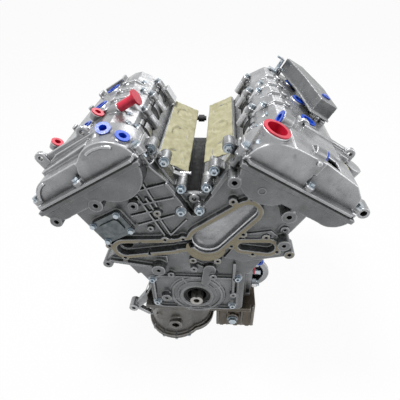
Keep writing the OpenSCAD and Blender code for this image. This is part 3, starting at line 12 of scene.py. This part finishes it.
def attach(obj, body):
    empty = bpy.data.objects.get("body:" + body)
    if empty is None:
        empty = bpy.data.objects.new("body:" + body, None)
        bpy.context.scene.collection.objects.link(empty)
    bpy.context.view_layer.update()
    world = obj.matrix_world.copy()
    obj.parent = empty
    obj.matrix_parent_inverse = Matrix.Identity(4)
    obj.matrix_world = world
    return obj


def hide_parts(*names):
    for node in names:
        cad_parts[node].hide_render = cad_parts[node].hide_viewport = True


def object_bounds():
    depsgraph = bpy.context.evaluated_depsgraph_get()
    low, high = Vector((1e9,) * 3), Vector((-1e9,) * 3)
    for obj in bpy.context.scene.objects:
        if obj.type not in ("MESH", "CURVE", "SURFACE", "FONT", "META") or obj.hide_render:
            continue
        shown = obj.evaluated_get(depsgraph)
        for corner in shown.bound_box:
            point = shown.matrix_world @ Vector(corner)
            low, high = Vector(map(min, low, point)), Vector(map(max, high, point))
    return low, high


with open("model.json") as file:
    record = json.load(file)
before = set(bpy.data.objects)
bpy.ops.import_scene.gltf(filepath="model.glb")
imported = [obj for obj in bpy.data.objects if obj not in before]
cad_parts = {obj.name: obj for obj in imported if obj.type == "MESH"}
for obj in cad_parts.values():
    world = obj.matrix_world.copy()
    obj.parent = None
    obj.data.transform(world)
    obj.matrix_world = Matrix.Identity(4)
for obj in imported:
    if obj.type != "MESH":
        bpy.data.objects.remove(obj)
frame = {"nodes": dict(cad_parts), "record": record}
cad_low, cad_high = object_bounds()
scene = bpy.context.scene
nodes = frame["nodes"]

# Metres: the front gasket face, how far a point may lie off it and still look machined, and the height below
# which the face isn't machined.
FRONT = -0.438
FACE_DEPTH = 0.0006
FACE_LOW = 0.112

# Angles of a bank from upright and of the intake faces from level, and the sharpest angle that isn't bevelled.
TILT = math.radians(30)
INTAKE_SLOPE = math.radians(25)
SHARP = math.radians(34)

# Millimetres in the bank's frame: bore spacing, the bores of each bank counted back from the front face, the
# intake camshaft across the bank, the centre height of the saddles over it, and the foot and top of the rim.
PITCH = 105.5
BORES = {-1: [109.4 + k * PITCH for k in range(3)], 1: [146 + k * PITCH for k in range(3)]}
CAM_U = -59
SADDLE_V = 365.5
RIM_LOW, RIM_HIGH = 374.9, 381

# Millimetres: the rounded eye and outlet of the pump chamber as (x, z), and their radii.
PUMP_EYE, PUMP_EYE_R = (26, 182), 32
PUMP_OUTLET, PUMP_OUTLET_R = (102, 259), 18

# Millimetres: where the intake face crosses its own zero, x and z.
INTAKE_X, INTAKE_Z = 46, 312

WHITE = (1, 1, 1, 1)


def make_camera():
    """The camera, fitted to the photograph in the part's own frame."""
    yaw, pitch, roll = (math.radians(a) for a in (-4.49, 37.51, -1.45))
    level = math.cos(pitch)
    forward = Vector((math.sin(yaw) * level, math.cos(yaw) * level, -math.sin(pitch)))
    right = Vector((math.cos(yaw), -math.sin(yaw), 0))
    up = right.cross(forward)
    side = math.cos(roll) * right + math.sin(roll) * up
    top = -math.sin(roll) * right + math.cos(roll) * up
    matrix = Matrix((side, top, -forward)).transposed().to_4x4()
    matrix.translation = Vector((0.0508, -0.9176, 0.6564))
    data = bpy.data.cameras.new("camera")
    data.sensor_width = 36
    data.lens = 30.141
    data.clip_start, data.clip_end = 0.01, 60
    camera = bpy.data.objects.new("camera", data)
    camera.matrix_world = matrix
    scene.collection.objects.link(camera)
    scene.camera = camera


# Materials.
class Tree:
    """A short way to write a material's nodes."""

    def __init__(self, name):
        self.material = bpy.data.materials.new(name)
        self.material.use_nodes = True
        self.tree = self.material.node_tree
        self.tree.nodes.clear()
        self.out = self.add("ShaderNodeOutputMaterial")
        self.place = self.add("ShaderNodeTexCoord").outputs["Object"]

    def add(self, kind, **values):
        node = self.tree.nodes.new(kind)
        for key, value in values.items():
            setattr(node, key, value)
        return node

    def put(self, value, socket):
        if isinstance(value, bpy.types.NodeSocket):
            self.tree.links.new(value, socket)
        elif value is not None:
            socket.default_value = value

    def noise(self, scale, detail=3.0, rough=0.55, stretch=None):
        node = self.add("ShaderNodeTexNoise")
        node.inputs["Scale"].default_value = scale
        node.inputs["Detail"].default_value = detail
        node.inputs["Roughness"].default_value = rough
        place = self.place
        if stretch:
            mapping = self.add("ShaderNodeMapping")
            mapping.inputs["Scale"].default_value = stretch
            self.put(place, mapping.inputs["Vector"])
            place = mapping.outputs["Vector"]
        self.put(place, node.inputs["Vector"])
        return node.outputs["Fac"]

    def ramp(self, value, low, high, start=0.0, end=1.0):
        node = self.add("ShaderNodeMapRange")
        self.put(value, node.inputs["Value"])
        limits = {"From Min": low, "From Max": high, "To Min": start, "To Max": end}
        for name, number in limits.items():
            node.inputs[name].default_value = number
        return node.outputs["Result"]

    def math(self, kind, a, b=None):
        node = self.add("ShaderNodeMath", operation=kind)
        self.put(a, node.inputs[0])
        self.put(b, node.inputs[1])
        return node.outputs[0]

    def mix(self, share, a, b):
        node = self.add("ShaderNodeMix", data_type="RGBA")
        self.put(share, node.inputs[0])
        for value, socket in ((a, node.inputs[6]), (b, node.inputs[7])):
            self.put((*value, 1) if isinstance(value, tuple) else value, socket)
        return node.outputs[2]

    def share_of(self, vector, index):
        node = self.add("ShaderNodeSeparateXYZ")
        self.put(vector, node.inputs[0])
        return node.outputs[index]

    def axis(self, index):
        return self.share_of(self.place, index)

    def facing(self, index):
        return self.share_of(self.add("ShaderNodeNewGeometry").outputs["Normal"], index)

    def shelter(self, distance):
        node = self.add("ShaderNodeAmbientOcclusion", samples=4)
        node.inputs["Distance"].default_value = distance
        return node.outputs["AO"]

    def bump(self, *layers):
        normal = None
        for height, depth in layers:
            node = self.add("ShaderNodeBump")
            node.inputs["Distance"].default_value = depth
            self.put(height, node.inputs["Height"])
            self.put(normal, node.inputs["Normal"])
            normal = node.outputs["Normal"]
        return normal

    def finish(self, colour, rough, metal, normal, specular=0.5, coat=0.0):
        shader = self.add("ShaderNodeBsdfPrincipled")
        self.put(colour, shader.inputs["Base Color"])
        self.put(rough, shader.inputs["Roughness"])
        self.put(metal, shader.inputs["Metallic"])
        shader.inputs["Specular IOR Level"].default_value = specular
        shader.inputs["Coat Weight"].default_value = coat
        self.put(normal, shader.inputs["Normal"])
        self.put(shader.outputs["BSDF"], self.out.inputs["Surface"])
        return self.material


def scaled(colour, share):
    return tuple(min(1.0, c * share) for c in colour)


def cast(name, colour, rough, stain_and_shade=(0.1, 0.098, 0.09), shade_and_grime=0.85, tan_face=False, dab=None, film=None,
         rub=0.8):
    """Cast aluminium: pebbled skin, cloudy tone, grime and painted shade in sheltered corners, painted
    highlights on sharp edges and high spots. tan_face stains the machined front face. dab = (x, y, z, reach)
    is a brushed spot of yellow paint. film is the colour of dried oil, deeper towards +X. The last argument
    sets how bright the painted edge highlight is."""
    t = Tree(name)
    cloud = t.ramp(t.noise(16, 4), 0.35, 0.68)
    tone = t.mix(cloud, scaled(colour, 0.74), scaled(colour, 1.16))
    tone = t.mix(t.ramp(t.noise(240, 2), 0.5, 0.75, 0, 0.3), tone, scaled(colour, 0.7))
    patch = t.ramp(t.noise(34, 5, 0.65), 0.58, 0.74, 0, 0.5)
    tone = t.mix(patch, tone, stain_and_shade)
    roughness = t.ramp(t.noise(70, 3), 0.3, 0.7, rough - 0.12, rough + 0.08)
    if tan_face:
        front = t.math("COMPARE", t.axis(1), FRONT)
        front.node.inputs[2].default_value = FACE_DEPTH
        flat = t.math("MULTIPLY", t.math("LESS_THAN", t.facing(1), -0.97), front)
        flat = t.math("MULTIPLY", flat, t.math("GREATER_THAN", t.axis(2), FACE_LOW))
        tone = t.mix(flat, tone, t.mix(t.noise(60, 3), (0.17, 0.152, 0.105), (0.25, 0.222, 0.158)))
    if film:
        reach = t.math("ADD", t.axis(0), t.ramp(t.noise(30, 4), 0.3, 0.7, -0.03, 0.03))
        tone = t.mix(t.ramp(reach, 0.02, 0.07, 0, 0.7), tone, film)
    # Painted shade, partly real grime: sheltered corners and recesses darkened towards a dark stain colour.
    corner = t.ramp(t.shelter(0.018), 0.3, 0.93, shade_and_grime, 0)
    tone = t.mix(corner, tone, scaled(stain_and_shade, 0.35))
    # Painted highlight: sharp edges and high spots made far paler, standing in for glints on the edges.
    edge_highlight = t.ramp(t.add("ShaderNodeNewGeometry").outputs["Pointiness"], 0.512, 0.57, 0, rub)
    tone = t.mix(edge_highlight, tone, scaled(colour, 2.5))
    if dab:
        spot = t.add("ShaderNodeVectorMath", operation="DISTANCE")
        t.put(t.place, spot.inputs[0])
        spot.inputs[1].default_value = dab[:3]
        reach = dab[3]
        edge = t.math("ADD", spot.outputs["Value"], t.ramp(t.noise(160, 4, 0.7), 0.3, 0.7, 0, reach))
        tone = t.mix(t.ramp(edge, reach, reach * 1.25, 0.85, 0), tone, (0.6, 0.48, 0.03))
    normal = t.bump((t.noise(900, 2), 0.00018), (t.noise(110, 3), 0.00035), (t.noise(22, 2), 0.003))
    return t.finish(tone, roughness, 0.7, normal)


def steel(name, colour, rough, tint=(0.55, 0.6, 0.7)):
    """Plated or bare steel: fine drawn lines, blotchy plating and painted shade in the corners."""
    t = Tree(name)
    tone = t.mix(t.ramp(t.noise(90, 4), 0.35, 0.7), colour, tint)
    tone = t.mix(t.ramp(t.noise(420, 2), 0.6, 0.8, 0, 0.4), tone, scaled(colour, 0.5))
    # Painted shade: darker where the surface is sheltered by nearby geometry.
    tone = t.mix(t.ramp(t.shelter(0.006), 0.3, 0.9, 0.6, 0), tone, scaled(colour, 0.15))
    lines = t.noise(500, 2, stretch=(1, 0.06, 1))
    roughness = t.ramp(t.noise(150, 3), 0.3, 0.7, rough - 0.06, rough + 0.14)
    return t.finish(tone, roughness, 1, t.bump((lines, 0.0002), (t.noise(60), 0.0003)))


def plastic(name, colour, rough=0.32):
    """Moulded plastic: faint flow lines, fine grain and painted shade in the corners."""
    t = Tree(name)
    tone = t.mix(t.ramp(t.noise(40, 3), 0.35, 0.7), scaled(colour, 0.82), scaled(colour, 1.25))
    # Painted shade: darker where the surface is sheltered by nearby geometry.
    tone = t.mix(t.ramp(t.shelter(0.008), 0.3, 0.9, 0.5, 0), tone, scaled(colour, 0.3))
    roughness = t.ramp(t.noise(200, 2), 0.3, 0.7, rough - 0.05, rough + 0.1)
    return t.finish(tone, roughness, 0, t.bump((t.noise(1100, 2), 0.00012)), coat=0.15)


def coated(name, colour, rough):
    """Black paint or rubber: orange peel, greyish dust in patches and blotchy roughness."""
    t = Tree(name)
    dust = t.ramp(t.noise(50, 5, 0.7), 0.5, 0.8, 0, 0.2)
    tone = t.mix(dust, colour, (0.07, 0.075, 0.085))
    roughness = t.ramp(t.noise(90, 3), 0.3, 0.7, rough - 0.1, rough + 0.15)
    return t.finish(tone, roughness, 0, t.bump((t.noise(380, 2), 0.0004)))


def creped_tape(name):
    """Creped paper tape: fine cross ridges, cloudy tone where it is pressed on."""
    t = Tree(name)
    ridges = t.noise(420, 3, stretch=(0.35, 2.4, 0.35))
    tone = t.mix(t.ramp(t.noise(45, 4), 0.35, 0.7), (0.38, 0.36, 0.22), (0.52, 0.5, 0.34))
    tone = t.mix(t.ramp(ridges, 0.55, 0.8, 0, 0.35), tone, (0.33, 0.3, 0.16))
    return t.finish(tone, 0.72, 0, t.bump((ridges, 0.0006), (t.noise(70), 0.0012)), specular=0.3)


CASE_LOOK = {"colour": (0.185, 0.19, 0.195), "rough": 0.31, "shade_and_grime": 0.7, "tan_face": True}
COVER_LOOK = {"colour": (0.36, 0.365, 0.375), "rough": 0.3, "shade_and_grime": 0.75}
LOOKS = {
    "block_cast": (cast, {"colour": (0.14, 0.145, 0.15), "rough": 0.42}),
    "head_cast": (cast, {"colour": (0.26, 0.265, 0.27), "rough": 0.38}),
    "case_cast": (cast, CASE_LOOK),
    "cover_cast": (cast, COVER_LOOK),
    "cover_dabbed": (cast, {**COVER_LOOK, "dab": (0.28, FRONT + 0.055, 0.318, 0.019)}),
    "cover_plain": (cast, {**COVER_LOOK, "colour": (0.33, 0.335, 0.345), "rub": 0.2}),
    "face_plain": (cast, {**CASE_LOOK, "rub": 0}),
    "sump_cast": (cast, {"colour": (0.14, 0.137, 0.13), "rough": 0.36, "stain_and_shade": (0.1, 0.07, 0.035),
                         "film": (0.075, 0.052, 0.027)}),
    "pan_paint": (coated, {"colour": (0.03, 0.03, 0.032), "rough": 0.4}),
    "zinc_steel": (steel, {"colour": (0.5, 0.54, 0.56), "rough": 0.2, "tint": (0.34, 0.42, 0.5)}),
    "dark_plate": (steel, {"colour": (0.1, 0.115, 0.12), "rough": 0.26, "tint": (0.17, 0.19, 0.195)}),
    "gasket_steel": (steel, {"colour": (0.28, 0.28, 0.29), "rough": 0.45}),
    "machined_iron": (steel, {"colour": (0.36, 0.35, 0.34), "rough": 0.3, "tint": (0.44, 0.42, 0.4)}),
    "dark_steel": (steel, {"colour": (0.16, 0.16, 0.17), "rough": 0.35, "tint": (0.22, 0.22, 0.24)}),
    "guide_plastic": (plastic, {"colour": (0.3, 0.2, 0.12), "rough": 0.5}),
    "piston_alloy": (steel, {"colour": (0.6, 0.6, 0.6), "rough": 0.34, "tint": (0.66, 0.66, 0.67)}),
    "black_plate": (coated, {"colour": (0.008, 0.009, 0.012), "rough": 0.55}),
    "black_plastic": (coated, {"colour": (0.015, 0.015, 0.016), "rough": 0.5}),
    "seal_rubber": (coated, {"colour": (0.012, 0.012, 0.012), "rough": 0.6}),
    "tape": (creped_tape, {}),
    "red_plastic": (plastic, {"colour": (0.62, 0.015, 0.05)}),
    "blue_plastic": (plastic, {"colour": (0.01, 0.085, 0.62)}),
}
materials = {name: kind(name, **look) for name, (kind, look) in LOOKS.items()}

# Bevels of the CAD nodes in metres, by the kind of material. The main castings get a skin with the fillets of
# a mould instead: its voxel size in metres and the share of its faces that is kept.
ROUND = {"cast": 0.0011, "steel": 0.0005, "plastic": 0.0009}
SKIN = {
    "timing_cover": (0.0014, 0.26), "cover_left": (0.0014, 0.32), "cover_right": (0.0014, 0.32),
    "upper_sump": (0.0020, 0.4), "side_housing": (0.0013, 0.5), "baffle_box": (0.0016, 0.5),
    "left_bracket": (0.0011, 0.6),
}
slot_of = {row["node"]: row["material_slot"] for row in frame["record"]["subparts"]}


def smooth(obj):
    for polygon in obj.data.polygons:
        polygon.use_smooth = True


def round_edges(obj, width, clamp=True):
    bevel = obj.modifiers.new("bevel", "BEVEL")
    bevel.width = width
    bevel.segments = 2
    bevel.limit_method = "ANGLE"
    bevel.angle_limit = SHARP
    bevel.use_clamp_overlap = clamp
    obj.modifiers.new("normals", "WEIGHTED_NORMAL").keep_sharp = True


def dress(name, obj):
    """Give a CAD node its material and the roundness of its edges."""
    slot = slot_of[name]
    obj.data.materials.clear()
    obj.data.materials.append(materials["cover_dabbed" if name == "cover_right" else slot])
    kind = "cast" if slot.endswith("_cast") else "plastic" if "plastic" in slot else "steel"
    obj.modifiers.new("weld", "WELD").merge_threshold = 0.00002
    if name in SKIN:
        voxel, share = SKIN[name]
        skin = obj.modifiers.new("skin", "REMESH")
        skin.mode = "VOXEL"
        skin.voxel_size = voxel
        skin.use_smooth_shade = True
        ease = obj.modifiers.new("ease", "SMOOTH")
        ease.factor = 0.5
        ease.iterations = 1
        obj.modifiers.new("thin", "DECIMATE").ratio = share
        return
    round_edges(obj, ROUND[kind], clamp=kind != "cast")


for node_name, node in nodes.items():
    dress(node_name, node)


# Places in the part's own frames, given in millimetres and turned into metres. Side is -1 left and 1 right.
def straight(x, y, z):
    """Block frame: x to the right, y back from the front gasket face, z up from the crank axis."""
    return Vector((x, y, z)) / 1000 + Vector((0, FRONT, 0))


def bank(side):
    """Bank frame: u across the bank, y back from the front gasket face, v up the cylinders."""
    def place(u, y, v):
        x = v * math.sin(TILT) + u * math.cos(TILT)
        z = v * math.cos(TILT) - u * math.sin(TILT)
        return straight(side * x, y, z)
    return place


def intake(side):
    """Intake face frame: a across the face, y back, h out of it."""
    def place(a, y, h):
        x = INTAKE_X + a * math.cos(INTAKE_SLOPE) - h * math.sin(INTAKE_SLOPE)
        z = INTAKE_Z + a * math.sin(INTAKE_SLOPE) + h * math.cos(INTAKE_SLOPE)
        return straight(side * x, y, z)
    return place


def piece(name, points, faces, slot, bevel, look=None):
    """A piece of the scene on the engine body. look is its material where that isn't the slot's own."""
    mesh = bpy.data.meshes.new(name)
    mesh.from_pydata([tuple(p) for p in points], [], faces)
    mesh.update()
    work = bmesh.new()
    work.from_mesh(mesh)
    bmesh.ops.recalc_face_normals(work, faces=work.faces)
    work.to_mesh(mesh)
    work.free()
    obj = bpy.data.objects.new(name, mesh)
    scene.collection.objects.link(obj)
    mesh.materials.append(materials[look or slot])
    if bevel:
        round_edges(obj, bevel)
    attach(obj, "engine")
    return obj


def sided(name, side):
    return name + ("_left" if side < 0 else "_right")


def walls(n, count, steps):
    """Faces between count loops of n points, for that many steps. A last step leads back to loop 0."""
    faces = []
    for k in range(steps):
        here, there = k * n, (k + 1) % count * n
        faces += [(here + i, here + (i + 1) % n, there + (i + 1) % n, there + i) for i in range(n)]
    return faces


def loft(loops):
    """Points and faces of loops of equal length joined one to the next, with both ends capped."""
    points = [p for loop in loops for p in loop]
    n, last = len(loops[0]), len(loops) - 1
    return points, walls(n, last + 1, last) + [tuple(range(n)), tuple(range(last * n, last * n + n))]


def turned_loops(place, centre, axis, profile, sides):
    """Circles of a profile of (radius, height) along the frame's axis 0, 1 or 2, from centre."""
    loops = []
    for radius, height in profile:
        loop = []
        for i in range(sides):
            a = 2 * math.pi * i / sides
            p = list(centre)
            p[(axis + 1) % 3] += radius * math.cos(a)
            p[(axis + 2) % 3] += radius * math.sin(a)
            p[axis] += height
            loop.append(place(*p))
        loops.append(loop)
    return loops


def turned(place, centre, axis, profile, sides):
    """A solid turned shape."""
    return loft(turned_loops(place, centre, axis, profile, sides))


def turned_ring(place, centre, axis, profile, sides):
    """A turned ring: the last loop of the profile joins the first."""
    loops = turned_loops(place, centre, axis, profile, sides)
    return [p for loop in loops for p in loop], walls(sides, len(loops), len(loops))


def joined(parts):
    """Several (points, faces) as one."""
    points, faces = [], []
    for more_points, more_faces in parts:
        base = len(points)
        points += more_points
        faces += [tuple(i + base for i in f) for f in more_faces]
    return points, faces


def bolt(place, centre, axis, size):
    """A flanged hex bolt head: washer skirt, six-sided head with a dished top."""
    skirt = [(1.15, 0), (1.15, 1), (1, 2.2)]
    head = [(0.82, 1.6), (0.82, 6.2), (0.7, 7), (0.45, 7), (0.38, 6.2)]
    return joined([
        turned(place, centre, axis, [(size * share, height) for share, height in profile], sides)
        for profile, sides in ((skirt, 24), (head, 6))
    ])


def slab_shape(place, outline, axis, low, high):
    """An outline drawn in the two other axes, cyclic order, carried from low to high along axis."""
    loops = []
    for level in (low, high):
        loop = []
        for a, b in outline:
            p = [0, 0, 0]
            p[axis] = level
            p[(axis + 1) % 3] = a
            p[(axis + 2) % 3] = b
            loop.append(place(*p))
        loops.append(loop)
    return loft(loops)


# Details of the banks.
def tape(side):
    """Creped tape over the intake ports: pressed into each port mouth, wrinkled, torn at the ends."""
    name = sided("tape", side)
    place = intake(side)
    draw = random.Random(11 + side)
    across, along = 26, 120
    edge, width, length = -34.5, 65, 3 * PITCH - 12
    y0 = BORES[side][0] - 34.75
    port_across, port_along = 18.5, 29
    waves = [
        (draw.uniform(0.08, 0.5), draw.uniform(-0.35, 0.35), draw.uniform(0, 6.3), draw.uniform(0.1, 0.28))
        for _ in range(9)
    ]
    torn = [[draw.uniform(0, 2.4) for _ in range(across + 1)] for _ in range(2)]
    points = []
    for j in range(along + 1):
        for i in range(across + 1):
            a = edge + width * i / across
            share = j / along
            y = y0 + length * share
            y += torn[0][i] * max(0, 1 - share * 12) - torn[1][i] * max(0, 1 - (1 - share) * 12)
            h = 0.9 + sum(depth * math.sin(p * a + q * y + turn) for p, q, turn, depth in waves)
            for bore in BORES[side]:
                x1, y1 = a / port_across, (y - bore) / port_along
                reach = math.sqrt(x1 * x1 + y1 * y1)
                h -= 2.6 * max(0.0, min(1.0, (1.06 - reach) * 9))
                h += 1.3 * math.exp(-((reach - 1.12) * 12) ** 2)
            points.append(place(a, y, max(0.15, h) if abs(a) > 17 else h))
    row = across + 1
    faces = [
        (j * row + i, j * row + i + 1, (j + 1) * row + i + 1, (j + 1) * row + i)
        for j in range(along) for i in range(across)
    ]
    obj = piece(name + "_skin", points, faces, "tape", bevel=0)
    obj.modifiers.new("thickness", "SOLIDIFY").thickness = 0.00025
    smooth(obj)
    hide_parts(name)


def beads(side):
    """Black sealant squeezed out along the split of cover and case, and between the saddle bands."""
    place = bank(side)
    rim = [(-119.6, 52), (-119.6, 6), (-117, -12), (-108, -27.5)]
    rim += [(100, -27.5), (110.5, -16), (112.6, 4), (112.6, 52)]
    inner = [(u * 0.985, y + (0.9 if y < 0 else 0)) for u, y in rim]
    outline = rim + inner[::-1]
    parts = [loft([[place(u, y, v) for u, y in outline] for v in (RIM_LOW - 2.3, RIM_LOW + 0.2)])]
    section = ((37.2, -0.7), (38.6, -0.7), (38.6, 0.7), (37.2, 0.7))
    for k in range(6):
        y = BORES[side][0] - 26 + k * PITCH / 2
        for edge in (-13.4, 13.4):
            loops = []
            for step in range(9):
                angle = math.radians(150 + step * 9)
                across, up = math.cos(angle), math.sin(angle)
                loops.append([
                    place(CAM_U + radius * across, y + edge + shift, SADDLE_V + radius * up)
                    for radius, shift in section
                ])
            parts.append(loft(loops))
    piece(sided("sealant", side), *joined(parts), "seal_rubber", bevel=0)


def inner_posts(side):
    """Posts with webs and bolts along the inner edge of each cover."""
    place = bank(side)
    low, high = RIM_HIGH + 0.5, 400
    posts, heads = [], []
    for k, y in enumerate((96, 132, 171, 226, 262, 305)):
        u = -86 + (k % 2) * 6
        top = high + (k % 3) * 5
        posts.append(turned(place, (u, y, 0), 2, [(8, low - 4), (8, top - 3), (7, top)], 24))
        heads.append(bolt(place, (u, y, top), 2, 6.4))
        web = [(y - 16, low), (y, low), (y, top - 6)]
        posts.append(slab_shape(place, web, 0, u - 2, u + 2))
    piece(sided("posts", side), *joined(posts), "cover_cast", bevel=0.0008)
    piece(sided("post_bolts", side), *joined(heads), "zinc_steel", bevel=0.0003)


def side_details():
    """Small parts on the side housing: red clip, bar and the bar's two bolts."""
    clip = slab_shape(straight, [(60, 18), (66, 18), (66, 44), (60, 44)], 0, 132, 137)
    piece("side_clip", *clip, "red_plastic", bevel=0.0008)
    bar = slab_shape(straight, [(54, -24), (72, -24), (72, -12), (54, -12)], 0, 131, 143)
    piece("side_bar", *bar, "cover_cast", bevel=0.001)
    heads = joined([bolt(straight, (143, y, -18), 0, 4.2) for y in (58, 68)])
    piece("side_bolts", *heads, "zinc_steel", bevel=0.0003)


# Details of the timing case.
def tapered_outline(p, rp, q, rq):
    """Two circles joined by their outer tangents, as points in cyclic order."""
    steps = 18
    d = math.dist(p, q)
    a, b = math.atan2(q[1] - p[1], q[0] - p[0]), math.acos((rp - rq) / d)
    points = []
    for centre, r, start, end in ((p, rp, a + b, a - b + 2 * math.pi), (q, rq, a - b, a + b)):
        for i in range(steps):
            t = start + (end - start) * i / (steps - 1)
            points.append((centre[0] + r * math.cos(t), centre[1] + r * math.sin(t)))
    return points


def pump_scroll():
    """The coved floor of the pump chamber: the wall curves smoothly into it."""
    cove = ((0.4, 27.8), (0.4, 7), (1.0, 13), (2.6, 18.5), (5.4, 22.6), (9.5, 25.2), (14.5, 26.2))
    loops = []
    for inset, depth in cove:
        outline = tapered_outline(PUMP_EYE, PUMP_EYE_R - inset, PUMP_OUTLET, PUMP_OUTLET_R - inset)
        loops.append([straight(x, depth, z) for x, z in outline])
    # The floor takes the paler cover metal, lighter than the case round it: a painted reflection of the bright
    # cove.
    smooth(piece("pump_scroll", *loft(loops), "cover_cast", bevel=0))


def crank_rings():
    """Stepped rings round the front seal."""
    lip = [(31.2, 9), (31.2, 4.2), (34, 2.2), (39, 2.4), (42.5, 6), (47, 7.6), (47, 9)]
    step = [(55, 12.4), (55, 7.4), (58, 5.8), (61, 7.4), (61.5, 12.4)]
    both = joined([turned_ring(straight, (0, 0, 0), 1, profile, 48) for profile in (lip, step)])
    piece("seal_rings", *both, "case_cast", bevel=0.0006)


def bulge_mark():
    """A raised ring cast on the front of the right bulge."""
    profile = [(7.4, 0.4), (7.4, -1.1), (5.6, -1.1), (5.6, 0.4)]
    mark = turned_ring(bank(1), (-61, -24.9, 343), 1, profile, 32)
    piece("bulge_ring", *mark, "case_cast", bevel=0.0003)


def face_crescent():
    """The broad part of the gasket face under the pump chamber."""
    inner, outer = [], []
    for i in range(25):
        angle = math.radians(188 + 142 * i / 24)
        grown = 40.6 + 15.5 * math.sin(math.pi * i / 24) ** 0.7
        for loop, r in ((inner, 39.5), (outer, grown)):
            loop.append((PUMP_EYE[0] + r * math.cos(angle), PUMP_EYE[1] + r * math.sin(angle)))
    outline = inner + outer[::-1]
    loops = [[straight(x, y, z) for x, z in outline] for y in (12.4, -0.15)]
    piece("face_crescent", *loft(loops), "case_cast", bevel=0, look="face_plain")


def front_rim(side):
    """The cover's own flange along the front of the split line."""
    outline = [(-117, -4), (-117, -12), (-108, -26.6), (100, -26.6), (110.5, -15), (110.5, -4)]
    loops = [[bank(side)(u, y, v) for u, y in outline] for v in (RIM_LOW, RIM_HIGH)]
    piece(sided("rim", side), *loft(loops), "cover_cast", bevel=0.0014, look="cover_plain")


pump_scroll()
face_crescent()
crank_rings()
bulge_mark()
for bank_side in (-1, 1):
    tape(bank_side)
    front_rim(bank_side)
    beads(bank_side)
    inner_posts(bank_side)
side_details()


# Floor, lights and world. Lamps are (name, place, size, watts).
AMBIENT = 0.26
FLOOR_HALF = 12
FLOOR_GLOW = 0.95
LAMPS = (
    ("key", (-0.45, -0.25, 2.3), 0.45, 39),
    ("fill", (1.9, -1.4, 1.0), 1.2, 9),
    ("rear", (0.5, 1.9, 1.8), 1.2, 16),
)


def area(name, place, target, size, power):
    data = bpy.data.lights.new(name, "AREA")
    data.size = size
    data.energy = power
    lamp = bpy.data.objects.new(name, data)
    lamp.location = place
    lamp.rotation_euler = (Vector(target) - Vector(place)).to_track_quat("-Z", "Y").to_euler()
    scene.collection.objects.link(lamp)


def seen_directly(tree):
    """1 for rays that come straight from the camera, a mirror or a lens."""
    path = tree.nodes.new("ShaderNodeLightPath")
    total = path.outputs["Is Camera Ray"]
    for name in ("Is Glossy Ray", "Is Transmission Ray"):
        node = tree.nodes.new("ShaderNodeMath")
        node.operation = "MAXIMUM"
        tree.links.new(total, node.inputs[0])
        tree.links.new(path.outputs[name], node.inputs[1])
        total = node.outputs[0]
    return total


def mix_shaders(tree, share, shader, pale, out):
    """Show shader where share is 0 and pale where it is 1."""
    mix = tree.nodes.new("ShaderNodeMixShader")
    links = (share, mix.inputs[0]), (shader, mix.inputs[1]), (pale, mix.inputs[2]), (mix.outputs[0], out)
    for source, socket in links:
        tree.links.new(source, socket)


def make_world():
    world = bpy.data.worlds.new("studio")
    scene.world = world
    world.use_nodes = True
    tree = world.node_tree
    ambient = tree.nodes["Background"]
    ambient.inputs["Color"].default_value = WHITE
    ambient.inputs["Strength"].default_value = AMBIENT
    white = tree.nodes.new("ShaderNodeBackground")
    white.inputs["Color"].default_value = WHITE
    white.inputs["Strength"].default_value = 1
    out = tree.nodes["World Output"].inputs["Surface"]
    mix_shaders(tree, seen_directly(tree), ambient.outputs[0], white.outputs[0], out)


def make_floor():
    """A pale floor that shows its shadows a little and otherwise runs into the white of the world."""
    mesh = bpy.data.meshes.new("floor")
    z = cad_low.z - 0.0005
    corners = [(x * FLOOR_HALF, y * FLOOR_HALF, z) for x, y in ((-1, -1), (1, -1), (1, 1), (-1, 1))]
    mesh.from_pydata(corners, [], [(0, 1, 2, 3)])
    floor = bpy.data.objects.new("floor", mesh)
    scene.collection.objects.link(floor)
    paper = bpy.data.materials.new("floor")
    paper.use_nodes = True
    tree = paper.node_tree
    shader = tree.nodes["Principled BSDF"]
    shader.inputs["Base Color"].default_value = (0.93, 0.93, 0.93, 1)
    shader.inputs["Roughness"].default_value = 0.9
    shader.inputs["Specular IOR Level"].default_value = 0
    glow = tree.nodes.new("ShaderNodeEmission")
    glow.inputs["Strength"].default_value = 1
    share = tree.nodes.new("ShaderNodeMath")
    share.operation = "MULTIPLY"
    share.inputs[1].default_value = FLOOR_GLOW
    tree.links.new(seen_directly(tree), share.inputs[0])
    out = tree.nodes["Material Output"].inputs["Surface"]
    mix_shaders(tree, share.outputs[0], shader.outputs[0], glow.outputs[0], out)
    floor.data.materials.append(paper)


def make_stage():
    make_world()
    make_floor()
    for name, place, size, power in LAMPS:
        area(name, place, (0, -0.2, 0.15), size, power)


make_camera()
make_stage()
scene.view_settings.view_transform = "Standard"
